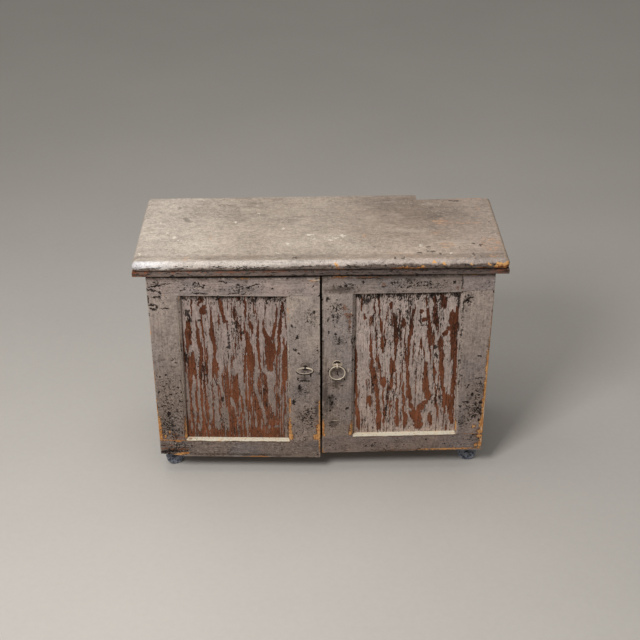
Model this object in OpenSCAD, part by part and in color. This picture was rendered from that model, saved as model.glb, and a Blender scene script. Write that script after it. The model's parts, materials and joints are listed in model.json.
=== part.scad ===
// Low two-door parts cabinet of painted pine boards, standing on four swivel casters.
// X runs to the right along the front, Y runs to the rear and Z runs up from the floor.
// The origin is on the floor, under the middle of the whole cabinet as it stands at rest.

/* [Carcass] */
// Width over the two sides
body_w = 1027; // [800:1:1300]
// Depth of the sides, from front edge to rear edge
body_d = 366; // [300:1:480]
// Length of the sides, from lower end to worktop
side_l = 668; // [560:1:850]
// Thickness of the sides
side_t = 22; // [20:1:30]
// Reach of the sides below the bearers
side_drop = 12; // [4:1:20]
// Thickness of the bottom board
bottom_t = 18; // [12:1:25]
// Depth of the housings that hold the bottom board
housing_d = 8; // [5:1:12]
// Clear height between the bottom board and the shelf
shelf_rise = 278; // [180:1:380]
// Thickness of the shelf
shelf_t = 18; // [12:1:25]
// Distance of the shelf behind the front edges of the sides
shelf_setback = 22; // [5:1:60]
// Width of the shelf cleats
cleat_w = 18; // [12:1:30]
// Height of the shelf cleats
cleat_h = 25; // [18:1:40]
// Height of the rails under the worktop
rail_h = 60; // [45:1:80]
// Thickness of the rails under the worktop
rail_t = 22; // [18:1:30]
// Number of boards in the back
back_count = 3; // [3:1:3]
// Thickness of the back boards
back_t = 14; // [12:1:18]
// Width of the rebates that hold the back boards
rebate_w = 12; // [8:1:14]

/* [Worktop] */
// Thickness of the worktop board
top_t = 31; // [24:1:40]
// Overhang of the worktop past each side
top_side_over = 36.5; // [20:0.5:60]
// Overhang of the worktop past the closed doors
top_front_over = 20; // [10:1:40]
// Overhang of the worktop board past the back
top_rear_over = 9.5; // [6:0.5:30]
// Height of the strips under the edge of the worktop
under_strip_h = 14.5; // [8:0.5:20]
// Depth of the front strip that stays clear of the carcass
under_strip_clear = 12.5; // [4:0.5:25]
// Width of the rear strip at its left end
rear_strip_left = 21; // [15:1:40]
// Width of the rear strip at its right end
rear_strip_right = 34; // [15:1:50]
// Distance of the right end of the rear strip from the middle
rear_strip_end = 313; // [100:1:350]
// Radius of the rear left corner
rear_corner_r = 20; // [5:1:20]
// Depth worn off the rear edge beside the rear strip
rear_wear = 3; // [0:1:6]
// Extra depth of the worktop board at its right end
right_flare = 7; // [0:1:15]

/* [Doors] */
// Thickness of the door frames
door_t = 28; // [24:1:36]
// Gap between the two closed doors
meeting_gap = 5; // [3:0.5:10]
// Gap between a closed door and the carcass
door_gap = 0.5; // [0.4:0.1:1]
// Gap above the left door
left_top_gap = 12; // [5:0.5:20]
// Gap above the right door
right_top_gap = 9.5; // [5:0.5:20]
// Reach of the left door below the sides
left_door_drop = 10; // [0:1:11]
// Rise of the lower edge of the right door above the sides
right_door_rise = 2; // [0:1:10]
// Height of the top rails of the doors
door_top_rail = 60; // [50:1:80]
// Height of the bottom rails of the doors
door_bottom_rail = 65; // [55:1:85]
// Width of the hinge stiles at the top
hinge_stile_top = 97; // [80:1:110]
// Width of the hinge stiles at the bottom
hinge_stile_low = 88; // [80:1:110]
// Width of the meeting stiles
meeting_stile = 99.5; // [80:0.5:120]
// Width of the chamfers on the inner edges of the stiles
chamfer_w = 9; // [3:1:12]
// Depth of the chamfers on the inner edges of the stiles
chamfer_d = 9; // [3:1:12]
// Distance of the panels behind the faces of the frames
panel_recess = 17; // [14:1:18]
// Thickness of the panels
panel_t = 10; // [8:0.5:10.5]
// Thickness of the panel edges that sit in the grooves
panel_edge_t = 6.5; // [4:0.5:7]
// Width of the bevels on the backs of the panels
panel_bevel = 25; // [15:1:40]
// Depth of the panel grooves
groove_d = 8; // [6:1:10]
// Length of the tenons on the stiles
tenon_l = 38; // [20:1:45]
// Thickness of the tenons on the stiles
tenon_t = 9; // [6:1:10]
// Rise of the corner block above the lower edge of the top rail
block_rise = 4; // [2:1:10]
// Length of the broken corner of the left bottom rail
break_l = 78; // [20:1:110]
// Height of the broken corner of the left bottom rail
break_h = 10; // [4:1:20]
// Angle at which the left door stands open
left_ajar = 1.9; // [0:0.1:5]
// Angle at which the right door stands open
right_ajar = 0.9; // [0:0.1:5]

/* [Hinges] */
// Height of the butt hinges
hinge_h = 65; // [50:1:80]
// Distance of each hinge from the end of the hinge stile
hinge_inset = 3; // [2:1:60]
// Width of each hinge leaf from the pin
leaf_w = 20; // [16:0.5:20]
// Thickness of the hinge leaves
leaf_t = 2; // [1.5:0.1:2.5]
// Radius of the hinge knuckles
knuckle_r = 4.2; // [3.6:0.1:5]
// Radius of the hinge pins
hinge_pin_r = 2.5; // [1.5:0.1:2.8]
// Distance of the hinge pins outside the sides
hinge_out = 0.5; // [0.5:0.1:1.5]
// Number of screws in each hinge leaf
leaf_screws = 3; // [2:1:3]
// Length of the hinge screws
hinge_screw_l = 18; // [12:1:22]

/* [Ring pulls] */
// Outer diameter of the rings
ring_d = 55; // [45:1:70]
// Diameter of the ring wire
ring_wire = 5.5; // [4:0.1:6.5]
// Distance of the pulls from the meeting edges
pull_inset = 45.5; // [35:0.5:60]
// Height of the pulls above the floor
pull_z = 410; // [300:1:550]
// Diameter of the rosettes
rosette_d = 30; // [26:1:40]
// Height of the rosettes
rosette_h = 3.5; // [2:0.1:4.5]
// Clear length of the eye from rosette to ring
eye_out = 7; // [6.8:0.1:9]
// Thickness of the eye
eye_t = 4.5; // [3.5:0.1:6]
// Width of metal around the hole of the eye
eye_rim = 3; // [2:0.1:4]
// Radius of the stem of the eye
eye_stem_r = 3; // [2:0.1:4]
// Angle of the left ring from hanging
left_ring_lift = 100; // [0:1:150]

/* [Casters] */
// Diameter of the wheels
wheel_d = 60; // [50:1:80]
// Width of the wheels over the tread
wheel_w = 22; // [18:1:28]
// Distance from the swivel axis to the wheel axle
caster_trail = 25; // [18:1:28]
// Clear height between wheel and fork
wheel_clear = 13.8; // [8:0.1:20]
// Width of the square caster plates
plate_w = 56; // [54:1:60]
// Thickness of the caster plates
plate_t = 3; // [2:0.1:4]
// Distance of the swivel axes from the inner faces of the sides
caster_side_in = 40.5; // [38:0.5:50]
// Distance of the front swivel axes behind the carcass front
caster_front_in = 30; // [30:0.5:60]
// Distance of the rear swivel axes before the carcass rear
caster_rear_in = 36; // [34:0.5:60]
// Width of the bearers that hold the casters
bearer_w = 84; // [80:1:120]
// Thickness of the bearers
bearer_t = 20; // [18:1:30]
// Swivel angle of the front left caster
swivel_front_left = 20; // [-180:1:180]
// Swivel angle of the front right caster
swivel_front_right = 172; // [-180:1:180]
// Swivel angle of the rear left caster
swivel_rear_left = -35; // [-180:1:180]
// Swivel angle of the rear right caster
swivel_rear_right = 140; // [-180:1:180]

/* [Hidden] */
// Sides of large rounds, of ordinary rounds and of pins, screws and wire
fine = 48;
$fn = 28;
small = 16;
// Clearance around each tenon, tongue and panel edge
fit = 0.2;
// Radial clearance of pins, axles and screws in their holes
run_fit = 0.05;
// Length by which a cut passes the face that it opens
over = 1;
// Small gap where boards meet without a joint
slack = 0.5;

paint = [0.56, 0.52, 0.48];
paint_dark = [0.44, 0.39, 0.35];
top_paint = [0.63, 0.58, 0.53];
bare_pine = [0.72, 0.53, 0.34];
panel_wood = [0.43, 0.26, 0.18];
iron = [0.34, 0.31, 0.28];
ring_metal = [0.55, 0.52, 0.47];
zinc = [0.66, 0.67, 0.69];
blue_rubber = [0.32, 0.36, 0.41];

// Caster heights, from the floor up
axle_z = wheel_d / 2;
crown_t = 3.5;
race_gap = 0.3;
race_h = 3.4;
crown_z = wheel_d + wheel_clear;
race_z = crown_z + crown_t + race_gap;
plate_z = race_z + race_h;
caster_h = plate_z + plate_t;

// Heights of the boards
side_z = caster_h - side_drop;
bottom_z = caster_h + bearer_t;
shelf_z = bottom_z + bottom_t + shelf_rise;
top_z = side_z + side_l;
total_h = top_z + top_t;
rail_z = top_z - rail_h;

// Depths, measured from the front edge of the worktop
door_y = top_front_over;
door_back_y = door_y + door_t;
body_y = door_back_y + door_gap;
body_back_y = body_y + body_d;
back_y = body_back_y - back_t;
top_d = body_back_y + top_rear_over;

// Widths, measured from the middle
half_w = body_w / 2;
inner_x = half_w - side_t;
half_top = half_w + top_side_over;
under_side_w = top_side_over - slack;
under_front_d = body_y - under_strip_clear;

// Doors, drawn with the hinges on the left and mirrored for the right door
door_x = -half_w;
meet_x = -meeting_gap / 2;
left_z = [side_z - left_door_drop, top_z - under_strip_h - left_top_gap];
right_z = [side_z + right_door_rise, top_z - under_strip_h - right_top_gap];
tenon_y = door_y + (door_t - tenon_t) / 2;
tenon_shoulder = 12;
groove_x = door_x + min(hinge_stile_low, hinge_stile_top) - groove_d;
panel_x = [groove_x + 1, meet_x - meeting_stile + groove_d - 1];
panel_y = door_y + panel_recess;
block_tenon_l = 15;

// Hinges
hinge_x = -half_w - hinge_out;
hinge_y = door_back_y + door_gap / 2;
leaf_gap = door_gap / 2;
knuckle_count = 5;
knuckle_h = hinge_h / knuckle_count;
knuckle_gap = 0.3;
pin_head_r = 3.4;
pin_head_h = 2;
barrel_clear = 0.6;
screw_r = 1.9;
screw_head_r = 4;
screw_inset = 10;
leaf_mid = (knuckle_r + barrel_clear + leaf_w) / 2;
left_hinges = hinge_heights(left_z);
right_hinges = hinge_heights(right_z);

// Ring pulls
pull_x = meet_x - pull_inset;
wire_r = ring_wire / 2;
ring_r = ring_d / 2 - wire_r;
eye_hole_r = wire_r + 0.6;
eye_r = eye_hole_r + eye_rim;
eye_y = door_y - rosette_h - eye_out;
nut_t = 5;
nut_r = 6.5;
rosette_edge = 1.2;

// Casters
caster_x = inner_x - caster_side_in;
caster_ys = [body_y + caster_front_in, body_back_y - caster_rear_in];
caster_spots = [
    [-caster_x, caster_ys[0], swivel_front_left],
    [caster_x, caster_ys[0], swivel_front_right],
    [-caster_x, caster_ys[1], swivel_rear_left],
    [caster_x, caster_ys[1], swivel_rear_right]
];
hub_w = wheel_w + 2;
fork_inner = hub_w + 1;
fork_t = 2.5;
fork_outer = fork_inner + 2 * fork_t;
crown_r = 21.5;
axle_r = 4;
axle_boss_r = 9.5;
axle_head_r = 7.5;
axle_head_t = 5;
kingpin_r = 5;
kingpin_head_r = 8.5;
kingpin_head_t = 2.3;
kingpin_z = crown_z - race_gap;
plate_screw_r = 2.2;
plate_screw_in = 6.5;
plate_screw_l = 16;
plate_corner_r = 6;

// Middle of the whole depth at rest, from the raised left ring to the rear strip
ring_mid_y = eye_y - ring_r * sin(left_ring_lift);
ring_swing_y = (ring_mid_y - hinge_y) * cos(left_ajar) - (pull_x - hinge_x) * sin(left_ajar);
ring_rest_y = hinge_y + ring_swing_y;
ring_reach = ring_r * sqrt(1 - pow(cos(left_ring_lift) * cos(left_ajar), 2)) + wire_r;
front_most = min(0, ring_rest_y - ring_reach);
rear_most = top_d + max(rear_strip_left, rear_strip_right, right_flare);
middle_y = (front_most + rear_most) / 2;

function hinge_heights(door_z) = [
    door_z[0] + door_bottom_rail + hinge_inset + hinge_h / 2,
    door_z[1] - door_top_rail - hinge_inset - hinge_h / 2
];

// A board given by its limits along X, Y and Z
module block(x, y, z) {
    translate([x[0], y[0], z[0]]) cube([x[1] - x[0], y[1] - y[0], z[1] - z[0]]);
}

// Moves a piece from the front edge of the worktop to the origin of the cabinet
module place() {
    translate([0, -middle_y, 0]) children();
}

module turn_about(x, y, angle) {
    translate([x, y, 0]) rotate([0, 0, angle]) translate([-x, -y, 0]) children();
}

module on_left_door() {
    place() turn_about(hinge_x, hinge_y, -left_ajar) children();
}

module on_right_door() {
    place() turn_about(-hinge_x, hinge_y, right_ajar) mirror([1, 0, 0]) children();
}

// An outline in Y and Z, drawn out along X from x0 to x1
module along_x(x0, x1) {
    translate([x0, 0, 0]) rotate([90, 0, 90]) linear_extrude(height = x1 - x0) children();
}

// An outline in X and Z, drawn out along Y from y0 to y1
module along_y(y0, y1) {
    translate([0, y1, 0]) rotate([90, 0, 0]) linear_extrude(height = y1 - y0) children();
}

// Carcass

module rail_tenon_space(y0, grow) {
    block([-inner_x - housing_d - grow, -inner_x + over],
        [y0 + rail_t / 4 - grow, y0 + rail_t * 3 / 4 + grow],
        [rail_z + rail_h / 6 - grow, top_z - rail_h / 6 + grow]);
}

module side_board(hinge_heights) {
    difference() {
        block([-half_w, -inner_x], [body_y, body_back_y], [side_z, top_z]);
        block([-inner_x - housing_d, -inner_x + over], [body_y - over, back_y + over],
            [bottom_z, bottom_z + bottom_t + fit]);
        block([-inner_x - rebate_w, -inner_x + over], [back_y, body_back_y + over],
            [bottom_z, top_z + over]);
        rail_tenon_space(body_y, fit);
        rail_tenon_space(back_y - rail_t, fit);
        for (z = hinge_heights) hinge_seat(z, 1);
    }
}

module left_side() {
    color(bare_pine) place() side_board(left_hinges);
}

module right_side() {
    color(bare_pine) place() mirror([1, 0, 0]) side_board(right_hinges);
}

module bottom_board() {
    color(bare_pine) place()
        block([-inner_x - housing_d + fit, inner_x + housing_d - fit], [body_y, back_y],
            [bottom_z, bottom_z + bottom_t]);
}

module shelf() {
    color(bare_pine) place()
        block([-inner_x + slack, inner_x - slack], [body_y + shelf_setback, back_y - slack],
            [shelf_z, shelf_z + shelf_t]);
}

module shelf_cleats() {
    cleat_y = [body_y + shelf_setback + cleat_w / 2, back_y - cleat_w / 2];
    color(bare_pine) place() for (s = [0, 1]) mirror([s, 0, 0])
        block([-inner_x, -inner_x + cleat_w], cleat_y, [shelf_z - cleat_h, shelf_z]);
}

module worktop_rail(y0) {
    block([-inner_x, inner_x], [y0, y0 + rail_t], [rail_z, top_z]);
    for (s = [0, 1]) mirror([s, 0, 0]) intersection() {
        rail_tenon_space(y0, 0);
        block([-inner_x - housing_d + fit, -inner_x + over], [y0, y0 + rail_t], [rail_z, top_z]);
    }
}

module top_front_rail() {
    color(bare_pine) place() worktop_rail(body_y);
}

module top_rear_rail() {
    color(bare_pine) place() worktop_rail(back_y - rail_t);
}

// A back board with a groove on its left edge and a tongue on its right edge
module back_board(i) {
    joint_gap = 0.5;
    edge_gap = 0.3;
    tongue_w = 6;
    tongue_half = back_t / 6;
    whole_w = 2 * (inner_x + rebate_w - edge_gap);
    board_w = (whole_w - (back_count - 1) * joint_gap) / back_count;
    x0 = -whole_w / 2 + i * (board_w + joint_gap);
    mid_y = back_y + back_t / 2;
    difference() {
        block([x0, x0 + board_w], [back_y, body_back_y], [bottom_z, top_z]);
        if (i > 0) block([x0 - over, x0 + tongue_w + fit],
            [mid_y - tongue_half - fit, mid_y + tongue_half + fit], [bottom_z - over, top_z + over]);
    }
    if (i < back_count - 1) block([x0 + board_w - over, x0 + board_w + joint_gap + tongue_w],
        [mid_y - tongue_half, mid_y + tongue_half], [bottom_z, top_z]);
}

module back_board_left() {
    color(bare_pine) place() back_board(0);
}

module back_board_middle() {
    color(bare_pine) place() back_board(1);
}

module back_board_right() {
    color(bare_pine) place() back_board(2);
}

// Worktop

// Edge outline of the worktop, rounded at the start and, for both ends, at the finish
module nosed_outline(start, finish, both_ends) {
    r = top_t / 2;
    stop = both_ends ? finish - r : finish;
    translate([start + r, top_z]) square([stop - start - r, top_t]);
    translate([start + r, top_z + r]) circle(r = r);
    if (both_ends) translate([finish - r, top_z + r]) circle(r = r);
}

module nosed_slab() {
    intersection() {
        along_x(-half_top, half_top) nosed_outline(0, rear_most + over, false);
        along_y(-over, rear_most + over) nosed_outline(-half_top, half_top, true);
        translate([0, 0, top_z - over]) linear_extrude(height = top_t + 2 * over) children();
    }
}

module strip_tongue(grow) {
    tongue_l = 10;
    tongue_half = top_t / 8;
    end_in = 30;
    mid_z = top_z + top_t / 2;
    block([-half_top + end_in - grow, rear_strip_end - end_in + grow],
        [top_d - tongue_l - grow, top_d + over],
        [mid_z - tongue_half - grow, mid_z + tongue_half + grow]);
}

module top_board() {
    color(top_paint) place() difference() {
        nosed_slab() polygon([
            [-half_top, 0], [half_top, 0], [half_top, top_d + right_flare],
            [rear_strip_end, top_d - rear_wear], [rear_strip_end, top_d], [-half_top, top_d]
        ]);
        strip_tongue(fit);
    }
}

module top_rear_strip() {
    corner = [-half_top, top_d + rear_strip_left];
    color(top_paint) place() {
        nosed_slab() difference() {
            polygon([
                [-half_top, top_d], [rear_strip_end, top_d],
                [rear_strip_end, top_d + rear_strip_right], corner
            ]);
            difference() {
                translate(corner - [over, rear_corner_r])
                    square([rear_corner_r + over, 2 * rear_corner_r]);
                translate(corner + [rear_corner_r, -rear_corner_r]) circle(r = rear_corner_r);
            }
        }
        strip_tongue(0);
    }
}

// Outline of one strip under the worktop, mitred at the front corner
module under_strip(outline) {
    color(paint_dark) place() translate([0, 0, top_z - under_strip_h])
        linear_extrude(height = under_strip_h) polygon(outline);
}

module under_strip_front() {
    inner = half_top - under_side_w;
    under_strip([[-half_top, 0], [half_top, 0], [inner, under_front_d], [-inner, under_front_d]]);
}

module under_strip_left() {
    inner = half_top - under_side_w;
    under_strip([[-half_top, 0], [-inner, under_front_d], [-inner, top_d], [-half_top, top_d]]);
}

module under_strip_right() {
    inner = half_top - under_side_w;
    under_strip([[half_top, 0], [half_top, top_d], [inner, top_d], [inner, under_front_d]]);
}

// Doors

function stile_tenon(x0, x1) = [x0 + tenon_shoulder, x1 - groove_d - tenon_shoulder];

module tenon(x, z, grow) {
    block([x[0] - grow, x[1] + grow], [tenon_y - grow, tenon_y + tenon_t + grow], z);
}

// Cuts one chamfer along an inner edge that leans from x_low to x_high over the height z
module edge_chamfer(x_low, x_high, z, side) {
    lean = atan((x_high - x_low) / (z[1] - z[0]));
    translate([x_low, door_y, z[0]]) rotate([0, lean, 0]) translate([0, 0, -over * 5])
        linear_extrude(height = z[1] - z[0] + over * 10)
        polygon([[side * over, -over], [-side * (chamfer_w + over), -over], [-side * chamfer_w, 0],
            [0, chamfer_d], [side * over, chamfer_d]]);
}

module hinge_stile(door_z, block_up) {
    z = [door_z[0] + door_bottom_rail, door_z[1] - door_top_rail];
    x_low = door_x + hinge_stile_low;
    x_high = door_x + hinge_stile_top;
    tenon_x = stile_tenon(door_x, min(x_low, x_high));
    difference() {
        along_y(door_y, door_back_y) polygon([
            [door_x, z[0]], [x_low, z[0]], [x_high, z[1]],
            [x_high, z[1] + block_up], [door_x, z[1] + block_up]
        ]);
        edge_chamfer(x_low, x_high, z, 1);
        block([groove_x, door_x + max(hinge_stile_low, hinge_stile_top) + over],
            [panel_y, panel_y + panel_edge_t + fit], [z[0] - over, z[1] + block_up + over]);
        for (h = hinge_heights(door_z)) hinge_seat(h, -1);
    }
    tenon(tenon_x, [z[0] - tenon_l, z[0] + over], 0);
    tenon(tenon_x, [z[1] + block_up - over, z[1] + tenon_l], 0);
}

module meeting_stile_piece(door_z) {
    z = [door_z[0] + door_bottom_rail, door_z[1] - door_top_rail];
    x0 = meet_x - meeting_stile;
    tenon_x = [x0 + groove_d + tenon_shoulder, meet_x - tenon_shoulder];
    difference() {
        block([x0, meet_x], [door_y, door_back_y], z);
        edge_chamfer(x0, x0, z, -1);
        block([x0 - over, x0 + groove_d], [panel_y, panel_y + panel_edge_t + fit],
            [z[0] - over, z[1] + over]);
        pull_bore();
    }
    tenon(tenon_x, [z[0] - tenon_l, z[0] + over], 0);
    tenon(tenon_x, [z[1] - over, z[1] + tenon_l], 0);
}

// Mortises and panel groove of a door rail with its inner edge at z; up is 1 for a top rail
module rail_cuts(z, up) {
    hinge_tenon = stile_tenon(door_x, door_x + min(hinge_stile_low, hinge_stile_top));
    meet_tenon = [meet_x - meeting_stile + groove_d + tenon_shoulder, meet_x - tenon_shoulder];
    deep = tenon_l + slack;
    mortise_z = up > 0 ? [z - over, z + deep] : [z - deep, z + over];
    groove_z = up > 0 ? [z - over, z + groove_d] : [z - groove_d, z + over];
    tenon(hinge_tenon, mortise_z, fit);
    tenon(meet_tenon, mortise_z, fit);
    block([panel_x[0] - fit, panel_x[1] + fit], [panel_y, panel_y + panel_edge_t + fit], groove_z);
}

module door_rail(z) {
    block([door_x, meet_x], [door_y, door_back_y], z);
}

// Top rail of a door, with its hinge end cut off where the corner block takes its place
module door_top_rail_piece(door_z, with_block) {
    z0 = door_z[1] - door_top_rail;
    seam_x = door_x + hinge_stile_top;
    difference() {
        block([with_block ? seam_x : door_x, meet_x], [door_y, door_back_y], [z0, door_z[1]]);
        rail_cuts(z0, 1);
    }
    if (with_block) block_tenon(seam_x, door_z, 0);
}

module door_bottom_rail_piece(door_z) {
    z1 = door_z[0] + door_bottom_rail;
    difference() {
        door_rail([door_z[0], z1]);
        rail_cuts(z1, -1);
    }
}

// Tenon on the top rail that enters the corner block
module block_tenon(seam_x, door_z, grow) {
    z_mid = door_z[1] - door_top_rail / 4;
    half = door_top_rail / 8;
    block([seam_x - block_tenon_l - grow, seam_x + over], [tenon_y - grow, tenon_y + tenon_t + grow],
        [z_mid - half - grow, z_mid + half + grow]);
}

module corner_block(door_z) {
    z0 = door_z[1] - door_top_rail + block_rise;
    seam_x = door_x + hinge_stile_top;
    tenon_x = stile_tenon(door_x, door_x + min(hinge_stile_low, hinge_stile_top));
    difference() {
        block([door_x, seam_x], [door_y, door_back_y], [z0, door_z[1]]);
        tenon(tenon_x, [z0 - over, door_z[1] - door_top_rail + tenon_l + slack], fit);
        block([groove_x, seam_x + over], [panel_y, panel_y + panel_edge_t + fit],
            [z0 - over, door_z[1] - door_top_rail + groove_d]);
        block_tenon(seam_x, door_z, fit);
    }
}

// Flat in front, with its back bevelled to thin edges that fill the grooves
module door_panel(door_z) {
    z = [door_z[0] + door_bottom_rail - groove_d + 1, door_z[1] - door_top_rail + groove_d - 1];
    back = panel_y + panel_t;
    edge = panel_y + panel_edge_t;
    hinge_edge_w = groove_d + abs(hinge_stile_top - hinge_stile_low);
    intersection() {
        translate([0, 0, z[0]]) linear_extrude(height = z[1] - z[0]) polygon([
            [panel_x[0], panel_y], [panel_x[1], panel_y], [panel_x[1], edge],
            [panel_x[1] - groove_d, edge], [panel_x[1] - groove_d - panel_bevel, back],
            [panel_x[0] + hinge_edge_w + panel_bevel, back], [panel_x[0] + hinge_edge_w, edge],
            [panel_x[0], edge]
        ]);
        along_x(panel_x[0] - over, panel_x[1] + over) polygon([
            [panel_y, z[0]], [edge, z[0]], [edge, z[0] + groove_d],
            [back, z[0] + groove_d + panel_bevel], [back, z[1] - groove_d - panel_bevel],
            [edge, z[1] - groove_d], [edge, z[1]], [panel_y, z[1]]
        ]);
    }
}

module left_door_hinge_stile() {
    color(paint) on_left_door() hinge_stile(left_z, 0);
}

module left_door_meeting_stile() {
    color(paint) on_left_door() meeting_stile_piece(left_z);
}

module left_door_top_rail() {
    color(paint) on_left_door() door_top_rail_piece(left_z, false);
}

module left_door_bottom_rail() {
    color(paint_dark) on_left_door() difference() {
        door_bottom_rail_piece(left_z);
        along_y(door_y - over, door_back_y + over) polygon([
            [door_x - over, left_z[0] - over], [door_x + break_l, left_z[0] - over],
            [door_x + break_l, left_z[0]], [door_x + break_l / 3, left_z[0] + break_h * 0.8],
            [door_x - over, left_z[0] + break_h]
        ]);
    }
}

module left_door_panel() {
    color(panel_wood) on_left_door() door_panel(left_z);
}

module right_door_hinge_stile() {
    color(paint) on_right_door() hinge_stile(right_z, block_rise);
}

module right_door_meeting_stile() {
    color(paint) on_right_door() meeting_stile_piece(right_z);
}

module right_door_top_rail() {
    color(paint) on_right_door() door_top_rail_piece(right_z, true);
}

module right_door_bottom_rail() {
    color(paint_dark) on_right_door() door_bottom_rail_piece(right_z);
}

module right_door_panel() {
    color(panel_wood) on_right_door() door_panel(right_z);
}

module right_door_corner_block() {
    color(paint) on_right_door() corner_block(right_z);
}

// Ring pulls

module pull_axis() {
    translate([pull_x, 0, pull_z]) rotate([90, 0, 0]) children();
}

module pull_bore() {
    translate([0, door_back_y + over, 0]) pull_axis()
        cylinder(h = door_t + 2 * over, r = eye_stem_r + run_fit);
}

// Domed round plate with a square rim
module pull_rosette() {
    r = rosette_d / 2;
    rise = rosette_h - rosette_edge;
    dome_r = (r * r + rise * rise) / (2 * rise);
    translate([0, door_y, 0]) pull_axis() difference() {
        intersection() {
            translate([0, 0, rosette_h - dome_r]) sphere(r = dome_r, $fn = fine);
            cylinder(h = rosette_h + over, r = r, $fn = fine);
        }
        translate([0, 0, -over]) cylinder(h = rosette_h + 2 * over, r = eye_stem_r + fit);
    }
}

// Eye on a threaded stem, with the nut that holds it inside the door
module pull_eye() {
    translate([pull_x - eye_t / 2, eye_y, pull_z]) rotate([0, 90, 0]) difference() {
        cylinder(h = eye_t, r = eye_r);
        translate([0, 0, -over]) cylinder(h = eye_t + 2 * over, r = eye_hole_r);
    }
    neck_y = eye_y + (eye_hole_r + eye_r) / 2;
    stem_end = door_back_y + nut_t + over;
    translate([0, stem_end, 0]) pull_axis() cylinder(h = stem_end - neck_y, r = eye_stem_r);
    translate([0, door_back_y + nut_t, 0]) pull_axis() difference() {
        cylinder(h = nut_t, r = nut_r, $fn = 6);
        translate([0, 0, -over]) cylinder(h = nut_t + 2 * over, r = eye_stem_r + run_fit);
    }
}

// Ring that hangs from the eye, lifted by the angle given
module pull_ring(lift) {
    translate([pull_x, eye_y, pull_z]) rotate([-lift, 0, 0]) translate([0, 0, -ring_r]) rotate([90, 0, 0])
        rotate_extrude($fn = fine) translate([ring_r, 0]) circle(r = wire_r, $fn = small);
}

module left_pull_rosette() {
    color(iron) on_left_door() pull_rosette();
}

module left_pull_eye() {
    color(iron) on_left_door() pull_eye();
}

module left_pull_ring() {
    color(ring_metal) on_left_door() pull_ring(left_ring_lift);
}

module right_pull_rosette() {
    color(iron) on_right_door() pull_rosette();
}

module right_pull_eye() {
    color(iron) on_right_door() pull_eye();
}

module right_pull_ring() {
    color(ring_metal) on_right_door() pull_ring(0);
}

// Hinges, drawn for the left door with the pin axis at hinge_x, hinge_y

function screw_heights(z) = [
    for (i = [0 : leaf_screws - 1])
        z + (leaf_screws < 2 ? 0 : (i / (leaf_screws - 1) - 0.5) * (hinge_h - 2 * screw_inset))
];

// Way into the wood for a screw at height z: 1 runs back into the side, -1 runs forward into the door
module leaf_screw_axis(z, way) {
    translate([hinge_x + leaf_mid, hinge_y + way * leaf_gap, z])
        rotate([way > 0 ? -90 : 90, 0, 0]) children();
}

// Recess for one leaf, room for the barrel and holes for the screws
module hinge_seat(z, way) {
    y_face = hinge_y + way * leaf_gap;
    y_floor = y_face + way * leaf_t;
    half = hinge_h / 2 + fit;
    y_open = y_face - way * over;
    block([hinge_x - over, hinge_x + leaf_w + fit], [min(y_open, y_floor), max(y_open, y_floor)],
        [z - half, z + half]);
    translate([hinge_x, hinge_y, z - half - pin_head_h - over])
        cylinder(h = 2 * (half + pin_head_h + over), r = knuckle_r + barrel_clear);
    for (h = screw_heights(z)) leaf_screw_axis(h, way)
        cylinder(h = hinge_screw_l + over, r = screw_r + run_fit, $fn = small);
}

// One leaf with its knuckles: the frame leaf has the odd ones, the door leaf the even ones
module hinge_leaf(z, way) {
    y_near = hinge_y + way * leaf_gap;
    y_far = y_near + way * leaf_t;
    y = [min(y_near, y_far), max(y_near, y_far)];
    plate_x = hinge_x + knuckle_r + barrel_clear;
    first = way > 0 ? 0 : 1;
    difference() {
        union() {
            block([plate_x, hinge_x + leaf_w], y, [z - hinge_h / 2, z + hinge_h / 2]);
            for (k = [first : 2 : knuckle_count - 1]) {
                low = z - hinge_h / 2 + k * knuckle_h;
                k0 = low + (k > 0 ? knuckle_gap / 2 : 0);
                k1 = low + knuckle_h - (k < knuckle_count - 1 ? knuckle_gap / 2 : 0);
                block([hinge_x, plate_x + over], y, [k0, k1]);
                translate([hinge_x, hinge_y, k0]) cylinder(h = k1 - k0, r = knuckle_r);
            }
        }
        translate([hinge_x, hinge_y, z - hinge_h / 2 - over])
            cylinder(h = hinge_h + 2 * over, r = hinge_pin_r + run_fit);
        for (h = screw_heights(z)) leaf_screw_axis(h, way) {
            translate([0, 0, -over]) cylinder(h = leaf_t + 2 * over, r = screw_r + run_fit, $fn = small);
            cylinder(h = leaf_t, r1 = screw_head_r + run_fit, r2 = screw_r + run_fit, $fn = small);
        }
    }
}

module hinge_pin(z) {
    translate([hinge_x, hinge_y, z - hinge_h / 2]) cylinder(h = hinge_h, r = hinge_pin_r);
    for (end = [-1, 1]) translate([hinge_x, hinge_y, z + end * (hinge_h + pin_head_h) / 2])
        cylinder(h = pin_head_h, r = pin_head_r, center = true);
}

// Countersunk screws of one leaf
module leaf_screw_set(z, way) {
    tip_l = 5;
    $fn = small;
    for (h = screw_heights(z)) leaf_screw_axis(h, way) {
        cylinder(h = leaf_t, r1 = screw_head_r, r2 = screw_r);
        cylinder(h = hinge_screw_l - tip_l, r = screw_r);
        translate([0, 0, hinge_screw_l - tip_l]) cylinder(h = tip_l, r1 = screw_r, r2 = screw_r / 4);
    }
}

module left_hinge_frame_leaves() {
    color(iron) place() for (z = left_hinges) hinge_leaf(z, 1);
}

module left_hinge_door_leaves() {
    color(iron) on_left_door() for (z = left_hinges) hinge_leaf(z, -1);
}

module left_hinge_pins() {
    color(iron) place() for (z = left_hinges) hinge_pin(z);
}

module right_hinge_frame_leaves() {
    color(iron) place() mirror([1, 0, 0]) for (z = right_hinges) hinge_leaf(z, 1);
}

module right_hinge_door_leaves() {
    color(iron) on_right_door() for (z = right_hinges) hinge_leaf(z, -1);
}

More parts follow.
